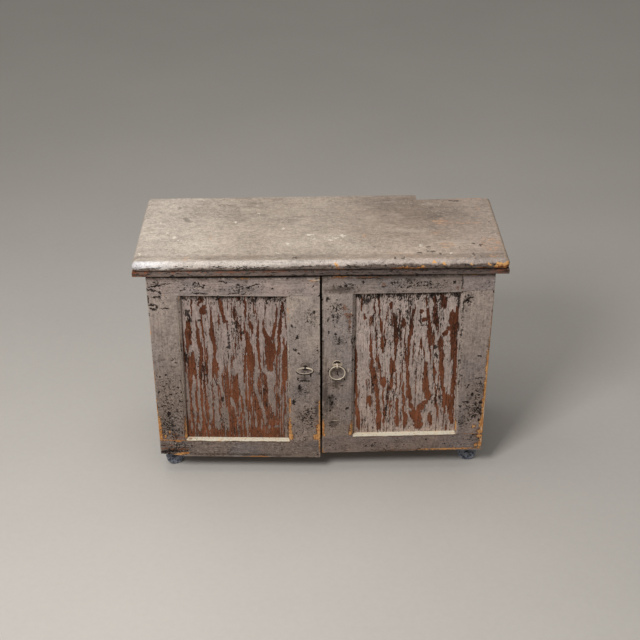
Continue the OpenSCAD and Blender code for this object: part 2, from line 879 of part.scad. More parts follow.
module right_hinge_pins() {
    color(iron) place() mirror([1, 0, 0]) for (z = right_hinges) hinge_pin(z);
}

module hinge_screws_carcass() {
    color(iron) place() {
        for (z = left_hinges) leaf_screw_set(z, 1);
        mirror([1, 0, 0]) for (z = right_hinges) leaf_screw_set(z, 1);
    }
}

module hinge_screws_left_door() {
    color(iron) on_left_door() for (z = left_hinges) leaf_screw_set(z, -1);
}

module hinge_screws_right_door() {
    color(iron) on_right_door() for (z = right_hinges) leaf_screw_set(z, -1);
}

// Casters, drawn at the swivel axis with the wheel trailing towards -X

module at_caster(i) {
    spot = caster_spots[i];
    place() translate([spot[0], spot[1], 0]) rotate([0, 0, spot[2]]) children();
}

// The four screw places of a caster plate, which stays square to the cabinet
module plate_screw_spots() {
    reach = plate_w / 2 - plate_screw_in;
    for (x = [-reach, reach], y = [-reach, reach]) translate([x, y, 0]) children();
}

module bearer() {
    difference() {
        block([-inner_x, -inner_x + bearer_w], [body_y, body_back_y], [caster_h, caster_h + bearer_t]);
        for (y = caster_ys) translate([-caster_x, y, caster_h - over])
            plate_screw_spots()
                cylinder(h = plate_screw_l + 2 * over, r = plate_screw_r + run_fit, $fn = small);
    }
}

module caster_bearer_left() {
    color(bare_pine) place() bearer();
}

module caster_bearer_right() {
    color(bare_pine) place() mirror([1, 0, 0]) bearer();
}

module rounded_square(w, r) {
    square([w - 2 * r, w], center = true);
    square([w, w - 2 * r], center = true);
    for (x = [-1, 1], y = [-1, 1]) translate([x, y] * (w / 2 - r)) circle(r = r);
}

// Plate with the pressed race below it and the riveted kingpin
module caster_plate(i) {
    spot = caster_spots[i];
    race_r = crown_r - 1.5;
    color(zinc) place() translate([spot[0], spot[1], 0]) {
        difference() {
            union() {
                translate([0, 0, plate_z]) linear_extrude(height = plate_t)
                    rounded_square(plate_w, plate_corner_r);
                translate([0, 0, race_z]) cylinder(h = race_h + over, r = race_r);
            }
            translate([0, 0, race_z - over]) difference() {
                cylinder(h = race_h + over, r = race_r - race_h * 2);
                cylinder(h = race_h + over, r = kingpin_r);
            }
            translate([0, 0, plate_z - over]) plate_screw_spots()
                cylinder(h = plate_t + 2 * over, r = plate_screw_r + run_fit, $fn = small);
        }
        translate([0, 0, kingpin_z]) cylinder(h = plate_z - kingpin_z + over, r = kingpin_r);
        translate([0, 0, kingpin_z - kingpin_head_t]) cylinder(h = kingpin_head_t, r = kingpin_head_r);
    }
}

// One leg of the fork, from the crown down to the axle
module fork_leg_outline() {
    leg_top = crown_z + crown_t / 2;
    shoulder_z = crown_z - crown_t;
    half = crown_r * 0.7;
    polygon([
        [-half, leg_top], [half, leg_top], [half, shoulder_z],
        [-caster_trail + axle_boss_r * 0.9, axle_z - axle_boss_r * 0.4],
        [-caster_trail, axle_z], [-caster_trail - axle_boss_r * 0.98, axle_z + axle_boss_r * 0.2],
        [-half - 1, shoulder_z]
    ]);
    translate([-caster_trail, axle_z]) circle(r = axle_boss_r);
}

module caster_fork(i) {
    color(zinc) at_caster(i) difference() {
        union() {
            translate([0, 0, crown_z]) cylinder(h = crown_t, r = crown_r);
            for (s = [-1, 1]) translate([0, s * (fork_inner + fork_t) / 2, 0])
                along_y(-fork_t / 2, fork_t / 2) fork_leg_outline();
        }
        translate([0, 0, crown_z - over]) cylinder(h = crown_t + 2 * over, r = kingpin_r + run_fit);
        translate([-caster_trail, fork_outer / 2 + over, axle_z]) rotate([90, 0, 0])
            cylinder(h = fork_outer + 2 * over, r = axle_r + run_fit);
    }
}

// Bolt with its head on one side and the nut on the other
module caster_axle(i) {
    half = fork_outer / 2;
    color(zinc) at_caster(i) translate([-caster_trail, 0, axle_z]) rotate([90, 0, 0]) {
        translate([0, 0, -half - axle_head_t - over])
            cylinder(h = 2 * half + axle_head_t + over, r = axle_r);
        translate([0, 0, half]) cylinder(h = axle_head_t, r = axle_head_r, $fn = 6);
        translate([0, 0, -half - axle_head_t]) difference() {
            cylinder(h = axle_head_t, r = axle_head_r, $fn = 6);
            translate([0, 0, -over]) cylinder(h = axle_head_t + 2 * over, r = axle_r + run_fit);
        }
    }
}

// Half section of the wheel: hub, dished web and rounded tread
module wheel_section() {
    tread_r = 4;
    hub_r = 10;
    web_half = wheel_w / 2 - 2;
    rim_in = axle_z * 0.72;
    difference() {
        union() {
            translate([0, -hub_w / 2]) square([hub_r, hub_w]);
            translate([0, -web_half]) square([rim_in + over, 2 * web_half]);
            translate([rim_in, -wheel_w / 2]) square([axle_z - tread_r - rim_in, wheel_w]);
            translate([rim_in, tread_r - wheel_w / 2]) square([axle_z - rim_in, wheel_w - 2 * tread_r]);
            for (s = [-1, 1]) translate([axle_z - tread_r, s * (wheel_w / 2 - tread_r)])
                circle(r = tread_r);
        }
        translate([-over, -hub_w]) square([axle_r + run_fit + over, 2 * hub_w]);
    }
}

module caster_wheel(i) {
    color(blue_rubber) at_caster(i) translate([-caster_trail, 0, axle_z]) rotate([90, 0, 0])
        rotate_extrude() wheel_section();
}

module caster_plate_front_left() {
    caster_plate(0);
}

module caster_plate_front_right() {
    caster_plate(1);
}

module caster_plate_rear_left() {
    caster_plate(2);
}

module caster_plate_rear_right() {
    caster_plate(3);
}

module caster_fork_front_left() {
    caster_fork(0);
}

module caster_fork_front_right() {
    caster_fork(1);
}

module caster_fork_rear_left() {
    caster_fork(2);
}

module caster_fork_rear_right() {
    caster_fork(3);
}

module caster_axle_front_left() {
    caster_axle(0);
}

module caster_axle_front_right() {
    caster_axle(1);
}

module caster_axle_rear_left() {
    caster_axle(2);
}

module caster_axle_rear_right() {
    caster_axle(3);
}

module caster_wheel_front_left() {
    caster_wheel(0);
}

module caster_wheel_front_right() {
    caster_wheel(1);
}

module caster_wheel_rear_left() {
    caster_wheel(2);
}

module caster_wheel_rear_right() {
    caster_wheel(3);
}

// Pan-head screws that hold the caster plates to the bearers
module caster_screws() {
    head_r = 4;
    head_h = 2.4;
    $fn = small;
    color(zinc) place() for (spot = caster_spots) translate([spot[0], spot[1], plate_z])
        plate_screw_spots() {
            translate([0, 0, -head_h]) cylinder(h = head_h, r1 = head_r * 0.8, r2 = head_r);
            translate([0, 0, -head_h / 2])
                cylinder(h = plate_t + plate_screw_l + head_h / 2 - over, r = plate_screw_r);
        }
}

left_side();
right_side();
bottom_board();
shelf();
shelf_cleats();
top_front_rail();
top_rear_rail();
back_board_left();
back_board_middle();
back_board_right();
top_board();
top_rear_strip();
under_strip_front();
under_strip_left();
under_strip_right();
caster_bearer_left();
caster_bearer_right();
left_door_hinge_stile();
left_door_meeting_stile();
left_door_top_rail();
left_door_bottom_rail();
left_door_panel();
right_door_hinge_stile();
right_door_meeting_stile();
right_door_top_rail();
right_door_bottom_rail();
right_door_panel();
right_door_corner_block();
left_pull_rosette();
left_pull_eye();
left_pull_ring();
right_pull_rosette();
right_pull_eye();
right_pull_ring();
left_hinge_frame_leaves();
left_hinge_door_leaves();
left_hinge_pins();
right_hinge_frame_leaves();
right_hinge_door_leaves();
right_hinge_pins();
hinge_screws_carcass();
hinge_screws_left_door();
hinge_screws_right_door();
caster_plate_front_left();
caster_plate_front_right();
caster_plate_rear_left();
caster_plate_rear_right();
caster_fork_front_left();
caster_fork_front_right();
caster_fork_rear_left();
caster_fork_rear_right();
caster_axle_front_left();
caster_axle_front_right();
caster_axle_rear_left();
caster_axle_rear_right();
caster_wheel_front_left();
caster_wheel_front_right();
caster_wheel_rear_left();
caster_wheel_rear_right();
caster_screws();
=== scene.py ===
import json
from math import cos, pi, radians, sin

import bpy
import numpy as np
from mathutils import Matrix, Vector, noise


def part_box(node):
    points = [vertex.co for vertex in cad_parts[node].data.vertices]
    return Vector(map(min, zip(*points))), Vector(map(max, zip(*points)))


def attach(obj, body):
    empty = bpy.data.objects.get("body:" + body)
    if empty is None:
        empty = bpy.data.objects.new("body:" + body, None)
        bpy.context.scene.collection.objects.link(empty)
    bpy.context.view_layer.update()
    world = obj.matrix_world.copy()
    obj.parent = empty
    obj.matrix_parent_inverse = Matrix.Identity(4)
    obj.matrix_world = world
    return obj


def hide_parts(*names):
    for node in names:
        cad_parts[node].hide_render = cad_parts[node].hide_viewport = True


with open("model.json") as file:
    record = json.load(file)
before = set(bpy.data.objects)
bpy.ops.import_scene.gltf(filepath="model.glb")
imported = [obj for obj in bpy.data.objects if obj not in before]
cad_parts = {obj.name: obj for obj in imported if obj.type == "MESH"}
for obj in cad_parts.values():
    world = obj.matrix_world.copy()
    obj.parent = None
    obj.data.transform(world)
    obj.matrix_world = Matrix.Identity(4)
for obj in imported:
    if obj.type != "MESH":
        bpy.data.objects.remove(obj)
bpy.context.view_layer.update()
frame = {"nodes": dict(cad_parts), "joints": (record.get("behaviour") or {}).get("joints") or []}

MM = 0.001
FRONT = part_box("top_board")[0].y          # front nose of the worktop

# Camera
CAMERA_X = -0.04687
CAMERA_AHEAD = 3.01244
CAMERA_Z = 2.36033
CAMERA_YAW = 0.823
CAMERA_PITCH = 30.639
CAMERA_ROLL = -0.135
FOCAL_PIXELS = 1175.618
IMAGE_PIXELS = 640
SENSOR = 36.0

# Light and floor, in metres from the front nose, the middle and the floor
SKY = 0.25
SKY_COLOUR = (1.0, 0.985, 0.965, 1.0)
LIT_PLACE = (0.0, 0.1, 0.55)
KEY = {"place": (-1.2, -1.9, 2.75), "size": 1.0, "watts": 60}
OVERHEAD = {"place": (-0.5, 0.3, 3.1), "size": 2.0, "watts": 16}
FLOOR_HALF = 40.0

# Carcass and worktop, in mm from the front nose, the middle and the floor
HALF_W = 513.5
HALF_TOP = 550.0
TOP_Z = 740.0
TOP_T = 31.0
TOP_D = 424.0
NOSE_R = TOP_T / 2
STRIP_END = 313.0
STRIP_LEFT_Y = 445.0
STRIP_RIGHT_Y = 458.0
STRIP_CORNER_R = 20.0
REAR_BEND = 330.0
REAR_WEAR = 3.0
REAR_FLARE = 7.0
UNDER_H = 14.5
UNDER_W = 36.0

# Doors, in mm
DOOR_Y = 20.0
DOOR_BACK_Y = 48.0
MEET_U = 511.0
HINGE_STILE_LOW = 88.0
HINGE_STILE_TOP = 97.0
MEETING_STILE = 99.5
TOP_RAIL = 60.0
BOTTOM_RAIL = 65.0
CHAMFER = 9.0
LEFT_Z = (62.0, 713.5)
RIGHT_Z = (74.0, 716.0)
BLOCK_RISE = 4.0
BREAK_L = 78.0
BREAK_H = 10.0
BREAK_FADE = 34.0
LEFT_HINGES = (162.5, 618.0)
RIGHT_HINGES = (174.5, 620.5)
HINGE_H = 65.0
LEAF_W = 20.0
SEAT_D = 2.3
LEAF_LINES = (LEAF_W + 2.5, LEAF_W + 3.4)

# Ring pulls, in mm
PULL_U = 465.5
PULL_Z = 410.0
ROSETTE_R = 15.0
ROSETTE_H = 3.5
EYE_OUT = 7.0
RING_R = 24.75
WIRE_R = 2.75
LEFT_LIFT = 100.0


# Helpers

def ink(r, g, b):
    """Linear colour of an sRGB colour given in 0 to 255."""
    def linear(c):
        c /= 255
        return c / 12.92 if c <= 0.04045 else ((c + 0.055) / 1.055) ** 2.4
    return (linear(r), linear(g), linear(b), 1.0)


def row(x, y, z):
    """Point in the row frame of a point in mm."""
    return Vector((x * MM, FRONT + y * MM, z * MM))


def rough(points, size, seed):
    """Smooth noise from about -1 to 1 at points in mm, with bumps about size mm wide."""
    shift = np.array([seed * 17.3, seed * 5.7, seed * 11.1])
    return np.array([noise.noise(Vector(p)) for p in points / size + shift])


def three(bumps):
    """One number as three, and three as they are."""
    return bumps if isinstance(bumps, tuple) else (bumps,) * 3


def in_metres(places):
    """Places of (x, z, half width, half height) in mm, and maybe a turn in degrees, as reach takes them."""
    return [(x * MM, z * MM, wide * MM, high * MM, turn[0] if turn else 0)
            for x, z, wide, high, *turn in places]


class Value:
    """A socket that takes arithmetic."""

    def __init__(self, graph, socket):
        self.graph = graph
        self.socket = socket

    def math(self, operation, *others):
        node = self.graph.add("ShaderNodeMath", operation=operation)
        for slot, other in zip(node.inputs, (self, *others)):
            self.graph.put(slot, other)
        return Value(self.graph, node.outputs[0])

    def __add__(self, other):
        return self.math("ADD", other)

    def __radd__(self, other):
        return self.math("ADD", other)

    def __sub__(self, other):
        return self.math("SUBTRACT", other)

    def __rsub__(self, other):
        return (self * -1) + other

    def __mul__(self, other):
        return self.math("MULTIPLY", other)

    def ease(self, low, high, bottom=0.0, top=1.0):
        """From bottom at low to top at high, smoothly."""
        node = self.graph.add("ShaderNodeMapRange", interpolation_type="SMOOTHSTEP")
        for slot, value in zip(node.inputs, (self, low, high, bottom, top)):
            self.graph.put(slot, value)
        return Value(self.graph, node.outputs[0])

    def wave(self, length):
        return (self * (2 * pi / length)).math("SINE")

    def most(self, other):
        return self.math("MAXIMUM", other)

    def least(self, other):
        return self.math("MINIMUM", other)


class Graph:
    """The node tree of one material, with the colour that its layers are laid over."""

    def __init__(self, name, seed=0.0):
        self.seed = seed
        self.colour = None
        self.material = bpy.data.materials.new(name)
        self.material.use_nodes = True
        self.tree = self.material.node_tree
        self.tree.nodes.clear()

    def add(self, kind, **settings):
        node = self.tree.nodes.new(kind)
        for key, value in settings.items():
            setattr(node, key, value)
        return node

    def put(self, slot, value):
        if isinstance(value, Value):
            self.tree.links.new(value.socket, slot)
        elif slot.type == "VECTOR":
            slot.default_value = value[:3]
        else:
            slot.default_value = value

    def place(self, matrix=None):
        """Object coordinates in metres, taken back by matrix where one is given."""
        point = Value(self, self.add("ShaderNodeTexCoord").outputs["Object"])
        if matrix is None:
            return point
        node = self.add("ShaderNodeMapping", vector_type="TEXTURE")
        self.put(node.inputs["Vector"], point)
        node.inputs["Location"].default_value = matrix.translation
        node.inputs["Rotation"].default_value = matrix.to_euler()
        return Value(self, node.outputs[0])

    def split(self, point):
        node = self.add("ShaderNodeSeparateXYZ")
        self.put(node.inputs[0], point)
        return [Value(self, out) for out in node.outputs]

    def join(self, x, y, z):
        node = self.add("ShaderNodeCombineXYZ")
        for slot, value in zip(node.inputs, (x, y, z)):
            self.put(slot, value)
        return Value(self, node.outputs[0])

    def vector(self, operation, a, b=None, c=None, scale=None):
        node = self.add("ShaderNodeVectorMath", operation=operation)
        for slot, value in zip(node.inputs, (a, b, c, scale)):
            if value is not None:
                self.put(slot, value)
        return Value(self, node.outputs["Value" if operation in ("LENGTH", "DOT_PRODUCT") else "Vector"])

    def noise_node(self, point, bumps, detail, number, roughness=0.55):
        """A noise texture, moved aside by its number and the graph's seed so that no two are alike."""
        node = self.add("ShaderNodeTexNoise")
        seed = self.seed + number
        shift = (seed, seed * 1.7, seed * 0.6)
        self.put(node.inputs["Vector"], self.vector("MULTIPLY_ADD", point, three(bumps), shift))
        for key, value in (("Scale", 1.0), ("Detail", detail), ("Roughness", roughness)):
            node.inputs[key].default_value = value
        return node

    def noise(self, point, bumps, detail, number, roughness=0.55):
        """Noise from 0 to 1, with bumps a metre: one number, or one for each axis."""
        return Value(self, self.noise_node(point, bumps, detail, number, roughness).outputs[0])

    def swing(self, point, bumps, detail, number):
        """Noise from -0.5 to 0.5."""
        return self.noise(point, bumps, detail, number) - 0.5

    def cells(self, point, bumps):
        """A texture of cells, with bumps of them a metre."""
        node = self.add("ShaderNodeTexVoronoi")
        self.put(node.inputs["Vector"], self.vector("MULTIPLY", point, three(bumps)))
        node.inputs["Scale"].default_value = 1.0
        return node

    def flecks(self, point, bumps, share):
        """Small spots of uneven size, at most bumps of them a metre: share is how many of them show."""
        node = self.cells(point, bumps)
        chance = self.split(Value(self, node.outputs["Color"]))[0]
        size = ((chance + share - 1) * 1.3).least(0.42)
        return (size - Value(self, node.outputs["Distance"])).ease(0.0, 0.07)

    def warp(self, point, amount, bumps, number):
        """point, moved up to about amount metres by noise."""
        node = self.noise_node(point, bumps, 2.0, number)
        centred = self.vector("SUBTRACT", Value(self, node.outputs["Color"]), (0.5, 0.5, 0.5))
        return self.vector("ADD", point, self.vector("SCALE", centred, scale=amount * 2))

    def mix(self, share, a, b):
        node = self.add("ShaderNodeMix", data_type="RGBA")
        self.put(node.inputs[0], share)
        self.put(node.inputs[6], a)
        self.put(node.inputs[7], b)
        return Value(self, node.outputs[2])

    def lay(self, share, colour):
        """Lays a colour over the graph's own where share is 1, and part of it where share is less."""
        self.colour = self.mix(share, self.colour, colour)

    def tint(self, colour, share):
        """colour made lighter or darker by the factor share."""
        return self.vector("SCALE", colour, scale=share)

    def kept(self, name):
        """A value kept on the mesh at each point."""
        return Value(self, self.add("ShaderNodeAttribute", attribute_name=name).outputs["Fac"])

    def reach(self, point, places):
        """How deep in the ovals at places a point lies: 1 at a middle, 0 on the rim, and less outside.
        Each place is (x, z, half width, half height, turn), in metres and degrees."""
        total = None
        for x, z, wide, high, turn in places:
            cosine, sine = cos(radians(turn)), sin(radians(turn))
            if turn:
                along = self.vector("DOT_PRODUCT", point, (cosine / wide, 0, sine / wide))
                up = self.vector("DOT_PRODUCT", point, (-sine / high, 0, cosine / high))
                across, height = (x * cosine + z * sine) / wide, (z * cosine - x * sine) / high
                local = self.join(along - across, up - height, 0.0)
            else:
                scale, shift = (1 / wide, 0, 1 / high), (-x / wide, 0, -z / high)
                local = self.vector("MULTIPLY_ADD", point, scale, shift)
            inside = 1 - self.vector("LENGTH", local)
            total = inside if total is None else total.most(inside)
        return total

    def finish(self, roughness, height, depth, metallic=0.0, shine=0.35):
        """The material of the graph's colour and these values, where height is a bump depth mm deep."""
        shader = self.add("ShaderNodeBsdfPrincipled")
        for slot, value in (("Base Color", self.colour), ("Roughness", roughness), ("Metallic", metallic),
                            ("Specular IOR Level", shine)):
            self.put(shader.inputs[slot], value)
        bump = self.add("ShaderNodeBump")
        self.put(bump.inputs["Height"], height)
        bump.inputs["Distance"].default_value = depth * MM
        bump.inputs["Strength"].default_value = 1.0
        self.put(shader.inputs["Normal"], Value(self, bump.outputs[0]))
        output = self.add("ShaderNodeOutputMaterial")
        self.tree.links.new(shader.outputs[0], output.inputs[0])
        return self.material


# Colours of the wood and the paint

DUSTY_SHINE = 0.12                        # specular level of paint and wood under dust
CHIP_AND_SHADOW = ink(32, 23, 18)
GRIME_AND_SHADE = ink(66, 54, 46)
PALE = ink(206, 192, 178)
CREAM = ink(255, 247, 224)
GOLD = ink(236, 178, 116)
AMBER = ink(202, 138, 82)
RUSTY = ink(150, 84, 50)
PINE_LIGHT = ink(138, 85, 60)
PINE_DARK = ink(101, 59, 42)
PINE_BLACK = ink(54, 37, 28)

SIDE_GREYS = (ink(150, 137, 130), ink(126, 111, 105))
# The greys of the door boards are partly painted shade: they are darker than the worktop's paint because
# less light falls on the door fronts, and the right door's top rail is darker because that door stands less
# open.
LEFT_GREYS = {
    "hinge_stile": (ink(172, 156, 146), ink(150, 132, 120)),
    "meeting_stile": (ink(188, 171, 158), ink(160, 141, 129)),
    "top_rail": (ink(178, 160, 151), ink(178, 160, 151)),
    "bottom_rail": (ink(139, 122, 111), ink(139, 122, 111)),
}
RIGHT_GREYS = {
    "hinge_stile": (ink(181, 164, 153), ink(168, 148, 136)),
    "meeting_stile": (ink(184, 168, 157), ink(154, 136, 124)),
    "top_rail": (ink(166, 150, 141), ink(166, 150, 141)),
    "bottom_rail": (ink(147, 128, 117), ink(147, 128, 117)),
    "corner_block": (ink(168, 152, 147), ink(168, 152, 147)),
}


# Places of the wear, chosen from the photograph, with some painted shade, shadow and highlight among them

# On the boards of a door: (u, z, half width, half height) of an oval in mm, and maybe its turn in degrees
LEFT_MARKS = {
    "hinge_stile": {
        "dark": ((37, 651, 4.6, 7), (25, 648, 12, 3.4, 8), (2, 650, 2.6, 28), (12, 622, 13, 4.2),
            (26, 615, 4.2, 8), (16, 607, 12, 3.8, -12), (50, 610, 13, 2.6), (34, 428, 9, 1.4, 8),
            (62, 430, 9, 1.8, 35), (70, 418, 4, 3), (36, 228, 7, 11), (37, 213, 4, 5), (12, 309, 5, 3),
            (71, 327, 6, 3), (80, 353, 3, 4), (80, 310, 2, 8), (78, 276, 6, 3)),
        "bare": ((-2.5, 260, 3.8, 170), (0, 170, 8, 46, -3), (3, 138, 8, 14), (85.5, 168, 2.4, 34, 1),
            (85, 138, 5, 9), (34, 158, 3, 6), (20, 141, 3, 5)),
        "rust": ((60, 136, 22, 5), (10, 132, 14, 4), (45, 150, 20, 5), (82, 165, 5, 30)),
        "crowd": ((45, 265, 52, 150), (40, 170, 50, 44), (40, 150, 44, 20), (90, 640, 12, 16),
            (88, 480, 5, 110)),
        # Long thin pale ovals on the chamfer: painted highlight.
        "pale": ((86, 480, 0.9, 110), (86, 330, 0.8, 60)),
    },
    "meeting_stile": {
        "dark": ((442, 512, 4.5, 10, -25), (436, 466, 9, 4, -42), (447, 456, 7, 2.5, -42),
            (429, 275, 6, 12), (427, 552, 3, 7, 20), (503, 113, 2, 13), (448, 332, 5, 12),
            # The dark ovals on the next line are painted shadow of the lifted ring, cast on the stile.
            (463, 356, 20, 3), (482, 378, 3, 8), (442, 363, 4, 6), (463, 380, 3, 9)),
        "bare": ((509, 220, 1.6, 60), (507, 165, 5, 32), (499, 145, 10, 10), (416, 168, 4, 34),
            (418, 142, 8, 10), (418, 275, 2.6, 14), (416, 250, 1.8, 16)),
        "rust": ((415, 275, 6, 20), (414, 165, 6, 26), (500, 175, 5, 34)),
        "grime_and_shade": ((463, 366, 20, 10), (450, 322, 8, 16), (500, 240, 10, 60)),
        "crowd": ((482, 580, 28, 36), (500, 472, 14, 26), (470, 225, 36, 44), (455, 320, 28, 30),
            (415, 400, 6, 160)),
        # The two long thin pale ovals on the chamfer are painted highlight; the small one is a nick.
        "pale": ((414, 460, 1, 34), (412, 350, 0.8, 60), (480, 578, 3, 3)),
    },
    "top_rail": {
        "dark": ((141, 694, 4, 4), (147, 687, 4, 3), (153, 694, 3, 6), (159, 686, 5, 3), (165, 683, 4, 3),
            (144, 699, 3, 3), (224, 703, 9, 3), (233, 699, 5, 3), (272, 692, 6, 3, -30),
            (281, 686, 7, 2.6, 20), (300, 683, 9, 2, 20), (318, 690, 13, 2.2, 28), (328, 694, 5, 2.4),
            (155, 662, 26, 2.2), (246, 661, 9, 2.4), (262, 663, 13, 2), (285, 660, 9, 2), (372, 680, 4, 3),
            (492, 688, 4, 3), (60, 694, 16, 2, 6), (30, 686, 30, 2.6, 12), (104, 672, 8, 2),
            (17, 671, 17, 4.2, -8), (37, 664, 4.6, 7, 20)),
        "pale": ((500, 709, 14, 2), (150, 680, 12, 0.8), (450, 661, 20, 0.7)),
        "bare": ((490, 707, 10, 1.2),),
        # The soft dark band along the top of this rail is painted shade under the worktop.
        "grime_and_shade": ((255, 717, 420, 17),),
        "crowd": ((140, 684, 60, 20), (250, 676, 90, 16), (20, 690, 40, 16)),
    },
    "bottom_rail": {
        "dark": ((30, 82, 34, 5.5, 3), (10, 104, 12, 1.4), (330, 70, 16, 1), (20, 74, 26, 3)),
        "bare": ((68, 73, 30, 3.6, 8), (509, 112, 2, 20), (46, 125.5, 50, 1.6), (62, 121, 9, 2.2)),
        "rust": ((60, 88, 40, 6, 4), (20, 92, 28, 4), (10, 122, 14, 3), (30, 106, 26, 3)),
        "pale": ((50, 112, 2.4, 3), (57, 102, 2.4, 2.2), (220.5, 102, 3, 3.4), (375, 82.5, 3.4, 3.4),
            (34, 114, 1.8, 2)),
        "grime_and_shade": ((250, 72, 200, 6),),
        "crowd": ((60, 95, 60, 26),),
    },
}

RIGHT_MARKS = {
    "hinge_stile": {
        "dark": ((24, 350, 14, 2.4, -6), (42, 290, 5, 6), (30, 252, 5, 7), (22, 236, 6, 7), (15, 258, 5, 8),
            (15, 222, 5, 7), (62, 262, 12, 2.4, -6), (58, 320, 3, 10, 25), (16, 192, 4, 6),
            (36, 206, 4, 9, 20), (89, 606, 2.4, 24), (91, 566, 1.6, 12), (90, 508, 1.6, 16),
            (91, 460, 1.4, 14), (90, 404, 1.4, 12), (78, 628, 7, 5, 30), (30, 430, 10, 2.4, 10),
            (72, 637, 5, 3), (87, 330, 1.8, 20), (60, 205, 4, 3), (13, 213, 4, 4), (77, 245, 6, 4),
            (84, 610, 2, 3), (80, 590, 2, 4)),
        "bare": ((0.5, 300, 6, 160), (1, 215, 7.5, 66), (6, 168, 7, 22, -12), (8, 146, 9, 9),
            (31, 166, 5, 6, 20), (88.5, 165, 2, 22), (4, 112, 4, 16)),
        "rust": ((0, 560, 3, 90), (10, 150, 18, 14)),
        # The long thin pale oval at u 89 on the chamfer is painted highlight.
        "pale": ((29, 167, 2, 2.4), (6, 158, 1.8, 8), (2, 230, 1.4, 40), (89, 330, 0.8, 90)),
        "crowd": ((36, 240, 44, 66), (60, 190, 36, 40), (88, 480, 7, 150), (72, 630, 16, 26),
            (20, 310, 26, 50)),
        "grime_and_shade": ((70, 180, 10, 10),),
    },
    "meeting_stile": {
        "dark": ((464, 575, 2.2, 18), (494, 640, 6, 8, 30), (493, 568, 3.4, 10, 15), (480, 582, 3, 5),
            (471, 518, 5, 4), (461, 497, 3, 12, 10), (458, 487, 4, 4), (472, 544, 3, 2.5),
            (414, 496, 3.5, 9), (492, 525, 3, 8), (433, 245, 6, 5, -25), (451, 331, 5, 4), (489, 286, 4, 5),
            # From (464, 378) on, the dark ovals are painted shadow of the hanging ring on the stile.
            (480, 268, 4, 6), (487, 238, 4, 5), (484, 190, 5, 3, -25), (464, 378, 2.4, 10),
            (466, 399, 13, 2.4), (446, 360, 2.4, 12, -35), (493, 390, 1.8, 12, 6), (475, 353, 8, 1.6)),
        "bare": ((508.5, 175, 3.2, 28), (505, 142, 4, 10), (419, 170, 2.6, 22, 3), (420, 150, 5, 8)),
        "rust": ((434, 582, 17, 14, 15), (428, 555, 4, 40), (424, 165, 6, 26), (445, 610, 10, 14)),
        "pale": ((423, 592, 3, 3), (470, 200, 22, 0.9), (432, 388, 1.8, 9)),
        "crowd": ((470, 590, 36, 60), (460, 500, 26, 36), (430, 570, 16, 80), (484, 265, 20, 50),
            (480, 185, 26, 26), (418, 480, 10, 160)),
        "grime_and_shade": ((484, 262, 9, 34), (470, 340, 30, 18), (478, 195, 24, 22), (465, 386, 26, 22),
            # The long band at u 511 is painted shadow of the left door's meeting edge.
            (500, 300, 12, 130), (511, 395, 7, 420)),
    },
    "top_rail": {
        "dark": ((372, 708, 44, 1.4), (250, 700, 20, 1.2), (180, 672, 30, 1.2), (430, 690, 8, 1.5),
            (120, 690, 5, 7), (458, 682, 4, 3), (442, 683, 5, 4), (205, 692, 7, 1.8, 30),
            (190, 686, 8, 1.8, 20), (330, 679, 8, 3), (390, 694, 3, 6), (160, 681, 9, 1.6),
            (98, 690, 1.6, 24)),
        "rust": ((466, 712, 26, 4), (372, 711, 60, 2.6), (330, 690, 6, 8), (110, 672, 6, 6)),
        "crowd": ((250, 688, 110, 18), (170, 684, 60, 20), (450, 684, 50, 16)),
        # The long band at z 720 is painted shade under the worktop.
        "grime_and_shade": ((460, 670, 60, 14), (300, 720, 420, 26)),
    },
    "bottom_rail": {
        "dark": ((343, 81, 12, 1.4), (120, 100, 5, 2)),
        "bare": ((110, 80, 120, 2.2), (5, 105, 6, 22, 10), (20, 92, 6, 8, 20), (10, 128, 9, 7),
            (30, 139, 44, 0.9)),
        "rust": ((10, 136, 14, 7), (345, 80, 12, 2.4), (180, 78, 80, 2)),
        "pale": ((3, 112, 1.6, 9),),
        "grime_and_shade": ((250, 76, 220, 6),),
        "crowd": ((20, 120, 30, 20),),
    },
    "corner_block": {
        "dark": ((96, 690, 1.6, 26), (56, 660, 20, 1.2)),
        "rust": ((92, 670, 3, 8),),
        # This band along the top is painted shade under the worktop.
        "grime_and_shade": ((50, 716, 140, 12),),
    },
}
